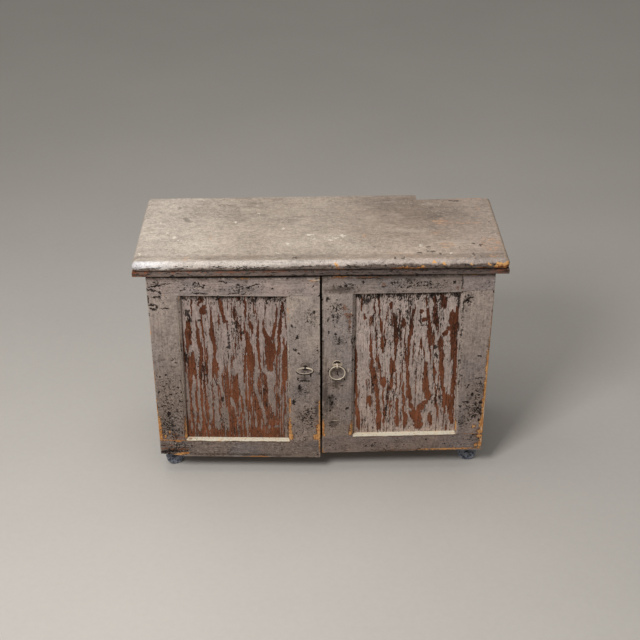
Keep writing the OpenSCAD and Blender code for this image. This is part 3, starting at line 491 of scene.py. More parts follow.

# On the panels, in the same form: where the wood is bare, and where its paint, dark sooty patches and dark
# dashes are; the sooty patches just under the top rail are partly painted shade
LEFT_FLAMES = {
    "bare": ((127, 600, 3, 50, 2), (155, 630, 12, 12), (148, 618, 4, 14), (158, 592, 11, 18),
        (163, 606, 6, 10), (155, 545, 4, 46, 1), (157, 470, 3, 70), (163, 420, 3.4, 60),
        (183, 570, 3.6, 44), (185, 505, 8, 70, 3), (189, 450, 6, 50), (188, 398, 12, 32), (209, 625, 5, 16),
        (216, 600, 9, 34, 6), (222, 568, 8, 26, 8), (230, 545, 3, 30), (205, 560, 2.4, 34),
        (113, 512, 12, 60), (106, 470, 5, 40), (95, 452, 4, 52), (141, 500, 7, 62, 2), (138, 550, 4, 20),
        (146, 440, 6, 56), (122, 400, 7, 60, 2), (110, 400, 4, 40), (248, 600, 2.2, 40), (255, 580, 4, 34),
        (236, 618, 2.2, 26), (262, 540, 2, 50), (272, 530, 3.4, 56), (266, 505, 2, 60), (256, 470, 2, 50),
        (248, 440, 2, 36), (241, 410, 2.4, 30), (266, 640, 8, 14), (252, 645, 4, 12), (286, 605, 5, 44),
        (283, 530, 3, 40), (289, 490, 8, 44), (283, 440, 4, 50), (298, 425, 13, 56), (297, 560, 3, 30),
        (304, 535, 6, 30, 6), (312, 600, 2.4, 30), (310, 640, 3, 16), (323, 530, 4, 40),
        (323, 450, 6, 70, 2), (318, 580, 2.4, 40), (338, 552, 5, 16), (343, 515, 7, 34, 10),
        (350, 490, 9, 30), (358, 450, 20, 48), (352, 415, 13, 30), (360, 395, 6, 20),
        (372, 530, 7, 52, -13), (381, 590, 4, 26, -6), (397, 600, 6, 40, -8), (391, 545, 7, 60, -6),
        (386, 480, 6, 60, -4), (380, 430, 4, 40), (405, 430, 10, 66), (400, 480, 4, 30),
        (408, 560, 2.4, 40)),
    "paint": ((96, 300, 8.5, 100, 2), (92, 370, 4, 50), (98, 230, 5, 40), (115, 250, 6, 90, 1),
        (120, 330, 5, 40), (133, 290, 4.5, 145), (136, 200, 4, 50), (147, 300, 2.6, 90),
        (150, 220, 2.4, 50), (157, 330, 2, 70), (168, 340, 7, 120), (166, 240, 5, 70), (176, 380, 3, 60),
        (187, 250, 7, 80, -1), (183, 320, 4, 40), (190, 182, 11, 34), (180, 190, 4, 40), (206, 410, 8, 46),
        (201, 345, 5, 44), (208, 290, 6, 46, 8), (214, 200, 9, 56, 3), (203, 230, 3, 50),
        (237, 262, 6, 24, 10), (243, 235, 3, 20, 8), (249, 392, 12, 36), (262, 370, 5, 40),
        (269, 330, 7, 100, 2), (260, 255, 2.6, 40), (276, 210, 6, 66, 4), (266, 190, 3, 40),
        (288, 200, 4, 40), (286, 320, 2.4, 80), (314, 375, 9, 50), (312, 320, 6, 40), (322, 275, 7, 50, 12),
        (333, 215, 5, 46, 6), (326, 180, 3, 24), (336, 390, 5, 26, 24), (347, 372, 5, 26, 20),
        (360, 345, 15, 46), (358, 290, 12, 40), (364, 250, 8, 36), (366, 222, 3, 16),
        (389, 320, 4, 110, -2), (394, 240, 3, 60), (383, 400, 2.4, 40), (408, 270, 4, 100),
        (402, 190, 3, 40), (308, 185, 5, 26), (372, 172, 11, 6), (350, 165, 4, 8), (296, 250, 2.2, 60),
        (128, 170, 5, 18), (104, 170, 5, 14), (160, 166, 4, 12)),
    "soot_and_shade": ((104, 650, 8, 7), (199, 647, 12, 7), (206, 636, 4, 12), (258, 649, 17, 6), (270, 640, 3, 12),
        (322, 642, 5, 12), (234, 470, 3.5, 14), (229, 463, 4, 6), (232, 505, 1.6, 28), (230, 436, 2.4, 14),
        (112, 585, 9, 18, 20), (120, 560, 6, 10), (100, 425, 3, 26), (147, 560, 6, 5), (276, 516, 5, 6),
        (362, 640, 2, 12), (205, 275, 4, 10)),
    "dashes": ((233, 500, 10, 50), (262, 560, 26, 80), (118, 540, 18, 60), (312, 600, 20, 50),
        (150, 380, 20, 60), (340, 300, 14, 60), (102, 440, 12, 60), (205, 190, 16, 40), (400, 590, 16, 50)),
}

RIGHT_FLAMES = {
    "bare": ((392, 612, 6, 30), (381, 566, 4, 16), (366, 550, 3, 30), (359, 555, 4, 26),
        (353, 600, 2.6, 40), (347, 500, 2.6, 60), (344, 430, 3.2, 50), (339, 600, 4, 46, -3),
        (332, 530, 6, 46, -6), (326, 472, 6, 40, -4), (335, 395, 5, 50, -8), (329, 345, 4, 34, -6),
        (319, 500, 2.4, 46), (316, 560, 2.4, 30), (305, 605, 8, 16), (299, 560, 3, 50), (292, 545, 6, 40),
        (286, 500, 9, 56), (284, 440, 6, 46), (293, 385, 12, 34), (299, 408, 6, 16), (277, 560, 2.6, 34),
        (271, 500, 2.6, 66), (265, 545, 8, 22), (258, 500, 2.4, 56), (255, 430, 2.2, 44),
        (262, 380, 2.2, 60), (245, 585, 3, 24), (241, 525, 8, 42), (236, 560, 2.4, 40), (246, 465, 6, 48),
        (250, 400, 3.4, 44), (245, 350, 6, 56, -2), (238, 285, 8, 46, -7), (229, 236, 7, 30, -24),
        (232, 590, 4, 18), (203, 555, 12, 9), (212, 582, 8, 11), (207, 470, 4.5, 24), (197, 430, 3, 40, -4),
        (196, 612, 4, 36, -4), (190, 565, 6, 46, -8), (183, 500, 8, 60, -5), (179, 430, 4, 50, -3),
        (174, 615, 6, 34, -6), (167, 560, 10, 52, -4), (171, 480, 5, 44), (160, 530, 4, 40),
        (147, 615, 13, 30, -4), (155, 640, 6, 14), (148, 470, 11, 36), (143, 410, 9, 54), (137, 505, 9, 13),
        (128, 520, 8, 9), (117, 555, 10, 34), (114, 500, 13, 60), (105, 540, 9, 70), (104, 450, 9, 60),
        (112, 440, 6, 40), (101, 385, 7, 60), (408, 385, 8, 96), (404, 290, 4, 60), (403, 235, 7, 50, -3),
        (396, 190, 10, 50, -6), (362, 460, 4.5, 60, -2), (357, 405, 7, 44), (350, 355, 9, 42, -10),
        (341, 300, 8, 46, -8), (335, 240, 8, 44, -3), (331, 185, 12, 44), (364, 266, 8, 18),
        (360, 250, 6, 14), (374, 330, 3, 14), (319, 330, 9, 24), (318, 270, 3.4, 50), (315, 200, 3.4, 40),
        (296, 325, 6, 34, 4), (303, 275, 3.4, 50), (296, 235, 3.4, 40), (281, 330, 2.6, 50),
        (275, 235, 5, 44), (274, 180, 7, 30), (268, 320, 2.6, 60), (258, 300, 4, 60), (254, 240, 4, 50),
        (248, 185, 8, 36), (211, 195, 20, 34), (206, 165, 20, 20), (226, 205, 12, 26), (192, 375, 8, 36),
        (189, 320, 12, 44), (180, 280, 15, 30, -10), (196, 240, 13, 30, 34), (170, 195, 7, 26),
        (166, 175, 5, 14), (164, 370, 5, 50, -5), (157, 300, 3.6, 60, -6), (151, 235, 4, 50, -6),
        (147, 310, 2.6, 60, -5), (143, 205, 3.4, 44, -5), (138, 355, 8, 50, -4), (132, 300, 7, 50, -8),
        (127, 240, 4, 40, -8), (120, 260, 8, 30), (107, 240, 14, 50, -6), (102, 195, 9, 34, -10),
        (104, 320, 7, 50), (97, 300, 4, 80)),
    "paint": ((120, 440, 5, 36), (127, 400, 8, 56), (118, 345, 8, 34), (113, 300, 4, 24), (136, 560, 8, 24),
        (141, 530, 7, 24)),
    "soot_and_shade": ((406, 648, 8, 10), (399, 640, 5, 14), (352, 651, 12, 4), (343, 640, 4, 14), (310, 646, 5, 10),
        (282, 640, 10, 8), (256, 650, 14, 6), (224, 640, 6, 12), (195, 651, 26, 8), (182, 640, 10, 12),
        (150, 650, 12, 6), (101, 620, 5, 40), (112, 650, 16, 8), (108, 638, 9, 10), (204, 534, 8, 3),
        (213, 545, 3, 10, -30), (214, 562, 2, 14), (159, 425, 6, 12), (163, 455, 7, 7), (356, 560, 2, 26),
        (319, 470, 2, 26), (226, 466, 3, 5)),
    "dashes": ((280, 520, 34, 120), (246, 570, 24, 70), (345, 540, 20, 90), (160, 560, 30, 90),
        (104, 500, 14, 120), (290, 300, 24, 90), (150, 280, 30, 70), (380, 620, 20, 24), (262, 430, 14, 80),
        (310, 210, 14, 50), (350, 330, 12, 50)),
}

# On the worktop, in the same form, but with x and the distance behind the front nose
TOP_SPOTS = {
    "smudges": ((-412, 288, 9, 24, 25), (-412, 288, 6, 14, 25), (-440, 372, 7, 10), (-290, 390, 34, 4, -4),
        (-328, 25, 9, 7), (-205, 400, 30, 4, 3)),
    "holes": ((290, 52, 8, 5), (328, 60, 10, 6), (314, 62, 3, 8), (318, 90, 7, 4), (216, 18, 3, 8),
        (240, 18, 3, 7), (350, 47, 3, 7), (447, 40, 3, 9), (468, 28, 3, 5), (456, 112, 7, 4),
        (475, 97, 4, 9, -20), (452, 12, 3, 6), (-74, 28, 5, 6), (430, 410, 18, 3)),
    "pales": ((-440, 165, 5, 8), (-464, 195, 3, 8), (-425, 145, 4, 8), (-112, 222, 6, 8), (-30, 178, 12, 7),
        (-20, 148, 4, 6), (30, 140, 5, 8), (66, 168, 7, 9), (50, 155, 12, 4), (298, 97, 4, 9),
        (383, 48, 4, 7), (-260, 265, 3, 6), (-370, 120, 3, 6), (-190, 330, 3, 6), (-130, 60, 3, 6),
        (-532, 56, 3, 6), (-490, 265, 3, 8), (-100, 120, 4, 8)),
    "bright": ((20, 150, 90, 30, 3), (-60, 120, 90, 34), (90, 95, 70, 30), (-380, 110, 90, 50)),
    "oranges": ((378, 100, 20, 18), (356, 182, 20, 10), (372, 255, 26, 16), (445, 250, 45, 7),
        (245, 42, 46, 4, -14), (505, 28, 20, 7), (374, 12, 8, 10), (465, 427, 55, 6),
        (-393, 26, 6, 16, -20), (500, 356, 6, 8), (135, 165, 8, 12), (-330, 165, 8, 14)),
    "ring": ((508, 104, 32, 46),),
}

# On the worktop's nose, with x and z
NOSE_GOLDS = ((47, 746, 8, 6), (72, 743, 20, 4), (245, 747, 40, 6), (292, 749, 14, 5), (330, 764, 6, 4),
    (356, 761, 8, 3), (437, 759, 5, 3), (472, 747, 16, 5), (518, 751, 18, 9), (541, 753, 12, 14),
    (490, 757, 6, 3), (44, 757, 4, 9), (210, 745, 14, 3))


# Materials

def painted(name, high, low, along="x", arris=0.0, chips=1.0, marks=None, ledge=None, seed=0.0):
    """Old grey paint on pine: mottled, chipped in dark specks, and worn to bare wood on the arrises, with
    pale paint near them that is partly painted highlight, and soft dark patches that are partly painted
    shade.
    """
    g = Graph(name, seed)
    p = g.place()
    x, y, z = g.split(p)
    marks = marks or {}

    blotch = g.swing(p, 10, 3, 0)
    patch = g.swing(p, 34, 3, 3)
    mottle = g.swing(p, 120, 3, 5)
    across, length = (16, 300) if along == "x" else (300, 16)
    grain = g.swing(p, (across, 60, length), 3, 7)
    fine = g.swing(p, 330, 2, 9)

    # Darker toward the bottom of the board, partly as grime and partly as painted shade.
    tone = g.mix(z.ease(0.16, 0.58), low, high)
    shade = 1.0 + blotch * 0.55 + patch * 0.70 + mottle * 1.10 + grain * 0.95 + fine * 0.90
    g.colour = g.tint(tone, shade)
    bluish = g.noise(p, 6, 2, 11).ease(0.42, 0.66, 0.0, 0.45)
    g.lay(bluish, g.tint(ink(138, 131, 132), shade))
    g.lay(g.noise(p, (110, 110, 260), 2, 13).ease(0.60, 0.70, 0.0, 0.55), PALE)
    g.lay(patch.ease(0.07, 0.24, 0.0, 0.40), GRIME_AND_SHADE)

    ragged = g.warp(p, 0.005, 190, 15)
    crowd = g.noise(p, 13, 2, 19).ease(0.42, 0.70)
    dense = crowd * 0.055 * chips + z.ease(0.42, 0.16, 0.0, 0.028 * chips)
    if "crowd" in marks:
        thick = g.reach(p, marks["crowd"]) + patch * 1.2
        dense = dense + thick.ease(-0.15, 0.65, 0.0, 0.104)
    dash = g.noise(ragged, (150, 150, 260), 2, 17, 0.6)
    speck = g.noise(ragged, (290, 290, 360), 1, 21)
    chipped = (dash + dense - 0.718).ease(0.0, 0.014)
    pitted = (speck + dense * 0.8 - 0.730).ease(0.0, 0.014)
    flecked = g.flecks(ragged, (105, 105, 135), dense * 4.5 + 0.03)
    hollow = chipped.most(pitted).most(flecked)
    fringe = g.noise(ragged, (150, 150, 260), 2, 17.03, 0.6)
    lifted = (fringe + dense - 0.680).ease(0.0, 0.04, 0.0, 0.30)
    g.lay(lifted, g.mix(crowd * 0.6, PALE, GRIME_AND_SHADE))
    g.lay(hollow * 0.93, g.mix(mottle.ease(0.02, 0.12), CHIP_AND_SHADOW, PINE_BLACK))

    wood = g.mix((grain + mottle).ease(-0.14, 0.12), AMBER, GOLD)
    if arris is not None:
        worn_arrises(g, p, wood, patch, mottle, arris)
    # Soft dark patches at the listed places: grime, and painted shade along the door tops under the worktop
    # and on the right door beside the left door's edge.
    if "grime_and_shade" in marks:
        soft = g.reach(p, marks["grime_and_shade"]) + patch * 1.6 + mottle * 2.2
        g.lay(soft.ease(-0.1, 0.9, 0.0, 0.72), GRIME_AND_SHADE)
    if ledge:
        cream_ledge(g, p, x, z, mottle, ledge)
    if marks:
        board_marks(g, p, y, marks, wood, patch, mottle)
    height = mottle * 0.35 + grain * 0.45 - hollow
    return g.finish(mottle.ease(-0.2, 0.2, 0.52, 0.78), height, 0.9, shine=DUSTY_SHINE)


def worn_arrises(g, p, wood, patch, mottle, arris):
    """Makes the paint of a board pale near its arrises, as worn paint and as painted highlight, and wears
    it to wood and dark scars on them.
    """
    edge = g.kept("edge")
    # Pale paint near the arrises: partly worn paint, partly a painted highlight along the edges and
    # chamfers.
    g.lay((edge + patch * 12 + mottle * 8).ease(4.0, 0.6, 0.0, 0.42), PALE)
    scar = edge + g.swing(p, 70, 3, 25) * 34
    bare = edge + g.swing(p, 17, 3, 23) * 30 + mottle * 12 + arris
    g.lay(bare.ease(-0.4, -1.8), wood)
    g.lay(scar.ease(-2.2, -3.6), CHIP_AND_SHADOW)


def cream_ledge(g, p, x, z, mottle, ledge):
    """The lit upper edge of a rail between the stiles, cream as worn wood and as a painted highlight: ledge
    is its low x, high x and z.
    """
    low, high, top = ledge
    inside = x.ease(low - 0.003, low + 0.003) * x.ease(high + 0.003, high - 0.003)
    torn_edge = z + g.swing(p, (28, 200, 1), 3, 26) * 0.008
    line = inside * torn_edge.ease(top - 0.0066, top - 0.0054)
    lit = inside * torn_edge.ease(top - 0.0034, top - 0.0024)
    # Cream and pale orange: worn wood with a painted highlight where the light falls on the edge.
    worn = g.mix(g.noise(p, (45, 200, 60), 3, 27).ease(0.50, 0.68), CREAM, ink(255, 226, 188))
    worn = g.mix(g.noise(p, 190, 2, 29).ease(0.67, 0.69), worn, RUSTY)
    g.lay(line * mottle.ease(-0.12, 0.02), ink(112, 70, 44))
    g.lay(lit, worn)


def board_marks(g, p, y, marks, wood, patch, mottle):
    """Lays the rust, bare wood, pale nicks and dark scars of marks over the front of a board; some pale
    marks are painted highlight on the chamfers, and some dark ones are painted shadow of the ring pulls.
    """
    facing = (y + mottle * 0.012).ease(FRONT + (DOOR_Y + 14) * MM, FRONT + (DOOR_Y + 10) * MM)
    torn = g.warp(g.warp(p, 0.006, 130, 31), 0.0026, 430, 33)
    crumble = g.swing(p, 310, 2, 35) * 2.0
    if "rust" in marks:
        rusted = (g.reach(torn, marks["rust"]) + mottle * 3.0 + crumble * 0.5).ease(0.05, 0.50, 0.0, 0.70)
        rust = g.mix(mottle.ease(-0.08, 0.10), ink(96, 64, 48), ink(148, 100, 70))
        g.lay(rusted * facing, rust)
    if "bare" in marks:
        edged = g.reach(torn, marks["bare"]) + crumble * 0.9 + patch * 1.5
        g.lay(edged.ease(-0.45, -0.20, 0.0, 0.8) * facing, PINE_BLACK)
        g.lay(edged.ease(-0.18, 0.02) * facing, wood)
    if "pale" in marks:
        # Pale nicks, and painted highlight where the marks run thin along the chamfers.
        nicks_and_highlights = g.reach(g.warp(p, 0.003, 60, 37), marks["pale"]) + crumble * 0.5
        g.lay(nicks_and_highlights.ease(-0.15, 0.35, 0.0, 0.80) * facing, ink(236, 218, 194))
    if "dark" in marks:
        # Dark scars, and painted shadows of the ring pulls where the marks lie round them.
        scars_and_shadows = (g.reach(torn, marks["dark"]) + crumble).ease(-0.05, 0.20, 0.0, 0.94)
        g.lay(scars_and_shadows * facing, CHIP_AND_SHADOW)


def worn_panel(name, door, flames, tones, seed, floor_bare):
    """Pine worn back to its rings, with the paint left between them in tall flames."""
    g = Graph(name, seed)
    p = g.place(door.matrix)
    x, _, z = g.split(p)
    low, high = door.low * MM, door.high * MM
    inner = sorted((door.x(HINGE_STILE_LOW) * MM, door.x(MEET_U - MEETING_STILE) * MM))
    sway = g.warp(g.warp(p, 0.007, (55, 1, 20), 0), 0.0050, (170, 1, 70), 2)
    streak = g.swing(p, (260, 1, 10), 3, 4)
    tatter = g.swing(p, (360, 1, 120), 3, 8)
    field = g.swing(p, (45, 1, 7), 2, 6)
    bare_in = g.reach(sway, flames["bare"]).most(0.0)
    paint_in = g.reach(sway, flames["paint"]).most(0.0)
    base = z.ease(high - 0.18, high - 0.30, -0.42, floor_bare)
    amount = base + bare_in * 2.4 - paint_in * 2.8 + streak * 2.5 + tatter * 1.3 + field * 0.9
    bare = amount.ease(-0.03, 0.09)
    broken = g.noise(p, (70, 1, 34), 2, 26).ease(0.44, 0.54)
    rim = amount.ease(-0.26, -0.05) * amount.ease(0.22, 0.04) * broken

    fibre = g.swing(p, (560, 1, 10), 3, 10)
    vein = g.swing(p, (170, 1, 5), 2, 12)
    mottle = g.swing(p, (120, 1, 75), 3, 14)
    patch = g.swing(p, (28, 1, 20), 3, 15)
    fine = g.swing(p, (330, 1, 280), 2, 16)
    wood = g.mix(z.ease(high - 0.05, low + 0.10), PINE_DARK, PINE_LIGHT)
    wood = g.tint(wood, 1.0 + vein * 1.2 + patch * 1.0 + fibre * 0.9 + fine * 0.7)
    wood = g.tint(wood, (z + vein * 0.05).ease(low + 0.004, low + 0.050, 0.70, 1.0))
    wood = g.mix(field.ease(0.02, 0.20, 0.0, 0.40), wood, ink(132, 78, 46))
    wood = g.mix((fibre + mottle * 0.6).ease(0.12, 0.20, 0.0, 0.75), wood, PINE_BLACK)
    dust = g.noise(p, (300, 1, 120), 2, 18).ease(0.66, 0.70, 0.0, 0.75)
    wood = g.mix(dust, wood, ink(176, 152, 132))
    paint = g.mix(z.ease(low, high - 0.12), *tones)
    paint = g.tint(paint, 1.0 + mottle * 1.1 + fine * 0.9 + vein * 0.6 + patch * 0.6)
    paint = g.mix((fibre + tatter * 0.7).ease(0.14, 0.22, 0.0, 0.55), paint, GRIME_AND_SHADE)
    g.colour = g.mix(bare, paint, wood)
    g.lay(rim * 0.75, PINE_BLACK)

    ragged = g.warp(p, 0.004, (190, 1, 150), 20)
    crowd = g.noise(p, (14, 1, 8), 2, 24).ease(0.42, 0.70, 0.0, 0.08)
    dense = crowd + z.ease(high - 0.055, high - 0.016, 0.0, 0.15)
    dash = g.noise(ragged, (250, 1, 90), 2, 22, 0.6)
    cleft = g.noise(ragged, (330, 1, 20), 2, 28)
    hollow = (dash + dense - 0.715).ease(0.0, 0.02).most((cleft + crowd * 0.4 - 0.700).ease(0.0, 0.02))
    near = (g.reach(p, flames["dashes"]) + patch * 1.5).ease(-0.2, 0.8, 0.0, 0.11)
    near = near + amount.ease(-0.85, -0.10, 0.0, 0.050)
    crumbs = (dash + dense + near - 0.715).ease(0.0, 0.02)
    crumbs = crumbs.most((cleft + near * 0.9 - 0.700).ease(0.0, 0.02))
    g.lay(hollow.most(crumbs) * 0.9, g.mix(bare, CHIP_AND_SHADOW, PINE_BLACK))
    # Painted shade along the stiles' inner edges and under the top rail, where the panel lies recessed.
    side = (x - inner[0]).least(inner[1] - x)
    soot_and_shade = (side + mottle * 0.012).ease(0.0015, 0.0).most((high - z + mottle * 0.060).ease(0.016, 0.003))
    g.lay(soot_and_shade * 0.75, CHIP_AND_SHADOW)
    # Dark sooty patches at the listed places; those just under the top rail are partly painted shade.
    soot_and_shade_patches = (g.reach(ragged, flames["soot_and_shade"]) + mottle * 3.0 + tatter).ease(-0.10, 0.30, 0.0, 0.88)
    g.lay(soot_and_shade_patches, CHIP_AND_SHADOW)
    height = vein * 0.8 + fibre * 0.8 + mottle * 0.3 - hollow * 0.5
    return g.finish(bare.ease(0, 1, 0.72, 0.58), height, 1.1, shine=DUSTY_SHINE)


def worktop_paint(name):
    """Dusty grey paint, paler toward the left and worn to wood on the nose and toward the right, with
    painted highlight and shade on the nose.
    """
    g = Graph(name)
    p = g.place()
    x, y, z = g.split(p)
    depth = (y - FRONT) * (1 / MM)
    blotch = g.swing(p, (5, 8, 5), 3, 1)
    patch = g.swing(p, (20, 30, 20), 3, 2)
    mottle = g.swing(p, (85, 130, 85), 3, 3)
    fine = g.swing(p, (240, 300, 240), 2, 4)
    scratch = g.swing(p, (14, 330, 330), 2, 5)
    shade = 1.0 + blotch * 0.75 + patch * 0.65 + mottle * 0.95 + fine * 1.00 + scratch * 0.50
    left = g.mix(x.ease(-0.52, -0.18), ink(207, 193, 178), ink(188, 172, 156))
    right = g.mix(depth.ease(60, 330), ink(202, 182, 164), ink(154, 136, 122))
    right = g.mix(x.ease(0.34, 0.50), right, ink(178, 160, 146))
    g.colour = g.tint(g.mix(x.ease(-0.04, 0.30), left, right), shade)
    cloud = g.noise(p, (7, 9, 7), 2, 7).ease(0.46, 0.66)
    pale = g.noise(p, (120, 150, 120), 2, 6).ease(0.58, 0.70, 0.0, 0.55)
    g.lay(pale * cloud, ink(228, 214, 198))
    g.lay(patch.ease(0.06, 0.22, 0.0, 0.34), ink(134, 118, 104))
    smear = g.noise(p, (9, 55, 9), 3, 8).ease(0.54, 0.72, 0.0, 0.34)
    g.lay(smear * depth.ease(120, 330), ink(124, 108, 95))
    haze = g.noise(p, (11, 22, 11), 3, 9).ease(0.52, 0.72, 0.0, 0.36)
    g.lay(haze, ink(216, 200, 184))
    front = depth.ease(52, 40) * depth.ease(16, 24) * patch.ease(-0.22, 0.05)
    g.lay(front * 0.42, ink(118, 100, 88))
    worktop_spots(g, p, scratch, mottle)
    hollow = worktop_nose(g, p, x, z, depth, shade, mottle)
    height = mottle * 0.4 + scratch * 0.25 - hollow
    return g.finish(mottle.ease(-0.2, 0.2, 0.46, 0.70), height, 0.8)


def worktop_spots(g, p, scratch, mottle):
    """Lays the stains, chips and worn spots of the worktop over its paint."""
    wood = g.mix(scratch.ease(-0.12, 0.12), ink(204, 146, 106), ink(232, 188, 148))
    torn = g.warp(p, 0.012, 100, 10)
    flat = g.vector("MULTIPLY", g.vector("SUBTRACT", torn, (0.0, FRONT, 0.0)), (1, 1, 0))
    x, y, z = g.split(flat)
    plan = g.join(x, z, y)

    def reach(kind):
        return g.reach(plan, in_metres(TOP_SPOTS[kind]))

    ring = reach("ring")
    ring = ring.ease(-0.15, 0.10) * ring.ease(0.75, 0.30, 0.35, 1.0)
    speckled = mottle.ease(-0.04, 0.10, 0.10, 0.95)
    grit = g.noise(p, (150, 190, 150), 2, 16)
    bright = reach("bright").ease(-0.4, 0.7) * grit.ease(0.50, 0.62, 0.10, 0.60)
    g.lay(bright, ink(232, 218, 200))
    g.lay(reach("smudges").ease(-0.4, 0.6, 0.0, 0.55), ink(108, 97, 88))
    stained = (reach("oranges") + mottle * 1.5).ease(-0.35, 0.35).most(ring)
    g.lay(stained * speckled * 0.62, wood)
    pale = (reach("pales") + mottle * 2.0).ease(-0.20, 0.50, 0.0, 0.95)
    g.lay(pale, ink(244, 230, 212))
    hole = (reach("holes") + mottle * 1.5).ease(-0.20, 0.10, 0.0, 0.80)
    g.lay(hole, ink(76, 64, 55))


def rise(height):
    """A level in metres, height mm above the underside of the worktop."""
    return (TOP_Z + height) * MM


def worktop_nose(g, p, x, z, depth, shade, mottle):
    """Lays the wear of the worktop's rounded rim, with painted highlight along the top of its nose and
    painted shade along its underside, and gives the hollows of that wear.
    """
    dash = g.noise(g.warp(p, 0.006, 130, 11), (110, 180, 230), 2, 12, 0.6)
    nose = depth.ease(17, 9)
    side = (HALF_TOP * MM - x.math("ABSOLUTE")).ease(0.017, 0.009)
    rim = nose.most(side)
    below = z.ease(rise(25), rise(16)) * rim
    crowd = g.noise(p, 9, 2, 13).ease(0.40, 0.68)
    ragged_z = z + g.swing(p, 45, 3, 15) * 0.022
    # Painted highlight along the upper half of the nose, whitest toward the left end.
    tone = g.mix(x.ease(-0.54, -0.38), ink(236, 234, 236), ink(214, 202, 192))
    tone = g.mix(x.ease(-0.20, 0.40), tone, ink(190, 174, 164))
    g.lay(nose * ragged_z.ease(rise(10), rise(15.5)) * 0.80, g.tint(tone, shade))
    # Painted shade along the underside of the nose.
    shaded_belly = g.mix(x.ease(-0.30, 0.25), ink(150, 134, 124), ink(104, 88, 80))
    limit = x.ease(-0.30, 0.12, rise(13), rise(21))
    g.lay((limit - ragged_z).ease(-0.002, 0.003) * rim * 0.85, g.tint(shaded_belly, shade))
    chafed = g.warp(p, 0.010, 110, 19)
    amber = (g.reach(chafed, in_metres(NOSE_GOLDS)) + mottle * 3.0).ease(-0.05, 0.25) * rim
    lit = (z + mottle * 0.03).ease(rise(10), rise(17))
    brown = g.mix(mottle.ease(-0.08, 0.10), RUSTY, AMBER)
    g.lay(amber, g.mix(lit, brown, ink(244, 184, 116)))
    g.lay(side * x.ease(0.0, 0.4) * (1 - nose) * 0.6, g.tint(ink(196, 178, 160), shade))
    level = 0.738 - crowd * 0.035 - rim * 0.030 - below * 0.085 - crowd * below * 0.07
    hollow = (dash - level).ease(0.0, 0.02)
    crack = g.noise(g.warp(p, 0.006, 70, 17), (28, 120, 300), 3, 18, 0.6)
    crack = (crack + crowd * 0.03).ease(0.580, 0.610)
    crack = crack * ragged_z.ease(rise(21), rise(16)) * ragged_z.ease(rise(4), rise(7)) * nose
    hollow = hollow.most(crack)
    g.lay(hollow * 0.92, g.mix(x.ease(0.10, 0.42) * 0.5, CHIP_AND_SHADOW, PINE_BLACK))
    seam = (z + g.swing(p, 60, 2, 20) * 0.006).ease(rise(4), rise(2)) * rim
    g.lay(seam * 0.85, CHIP_AND_SHADOW)
    return hollow


def strip_paint(name):
    """Dark paint of the strips below the worktop, with a broken line of red-brown wood along the top."""
    g = Graph(name)
    p = g.place()
    x, _, z = g.split(p)
    mottle = g.swing(p, 80, 3, 1)
    grain = g.swing(p, (18, 260, 260), 3, 2)
    chips = g.noise(g.warp(p, 0.005, 120, 4), (70, 200, 240), 2, 5, 0.6).ease(0.585, 0.62)
    g.colour = g.mix(x.ease(-0.40, 0.10), ink(128, 113, 104), ink(108, 94, 88))
    g.colour = g.tint(g.colour, 1.0 + mottle * 1.3 + grain * 1.3)
    ends = (x.ease(-0.480, -0.530) + x.ease(0.480, 0.530)) * mottle.ease(-0.14, 0.04)
    g.lay(ends * 0.8, g.mix(grain.ease(-0.1, 0.1), ink(82, 54, 40), RUSTY))
    red = (z + g.swing(p, (30, 60, 60), 3, 6) * 0.014).ease(rise(-2.8), rise(-0.8))
    red = red * mottle.ease(-0.05, 0.05)
    g.lay(red * 0.7, g.mix(x.ease(-0.45, 0.20), RUSTY, PINE_BLACK))
    g.lay(g.noise(p, (12, 40, 60), 2, 3).ease(0.60, 0.70, 0.0, 0.5), ink(126, 84, 60))
    g.lay(chips * 0.95, CHIP_AND_SHADOW)
    return g.finish(mottle.ease(-0.2, 0.2, 0.55, 0.8), mottle * 0.4 - chips, 0.7)


def old_pine(name, along, tone=1.0, seed=0.0):
    """Bare pine gone brown with age, with its rings, knots and dust."""
    g = Graph(name, seed)
    p = g.place()
    bent = g.warp(p, 0.02, 5, 1)
    bx, by, bz = g.split(bent)
    wide = {"x": (1.4, 18, 18), "y": (18, 1.4, 18), "z": (18, 18, 1.4)}[along]
    stretch = {"x": (9, 300, 300), "y": (300, 9, 300), "z": (300, 300, 9)}[along]
    across = {"x": bz * 1.3 + by * 0.9, "y": bx * 1.2 + bz, "z": bx * 1.2 + by * 0.7}[along]
    across = across + g.noise(p, wide, 2, 5) * 0.12
    rings = across.wave(0.017) * 0.26 + across.wave(0.0052) * 0.16
    fibre = g.noise(p, stretch, 3, 2)
    stain = g.noise(p, 7, 3, 3)
    fine = g.noise(p, 400, 2, 4)
    g.colour = g.mix((rings + fibre).ease(0.1, 1.0), ink(168, 132, 94), ink(126, 90, 60))
    g.colour = g.tint(g.colour, (0.42 + stain * 0.55 + fine * 0.35 + fibre * 0.25) * tone)
    g.lay(stain.ease(0.55, 0.75, 0.0, 0.5), GRIME_AND_SHADE)
    return g.finish(fibre.ease(0.3, 0.7, 0.55, 0.8), rings * 0.3 + fibre * 0.5, 0.5)


def dark_iron(name):
    """Dark iron with rust in the low places and worn high places."""
    g = Graph(name)
    p = g.place()
    rust = g.noise(p, 160, 3, 1)
    pits = g.noise(p, 900, 2, 2)
    g.colour = g.mix(rust.ease(0.48, 0.66), ink(74, 68, 62), ink(104, 66, 42))
    g.lay(pits.ease(0.55, 0.72), ink(32, 28, 26))
    metallic = rust.ease(0.62, 0.48, 0.1, 0.75)
    return g.finish(rust.ease(0.4, 0.65, 0.42, 0.75), pits, 0.25, metallic)


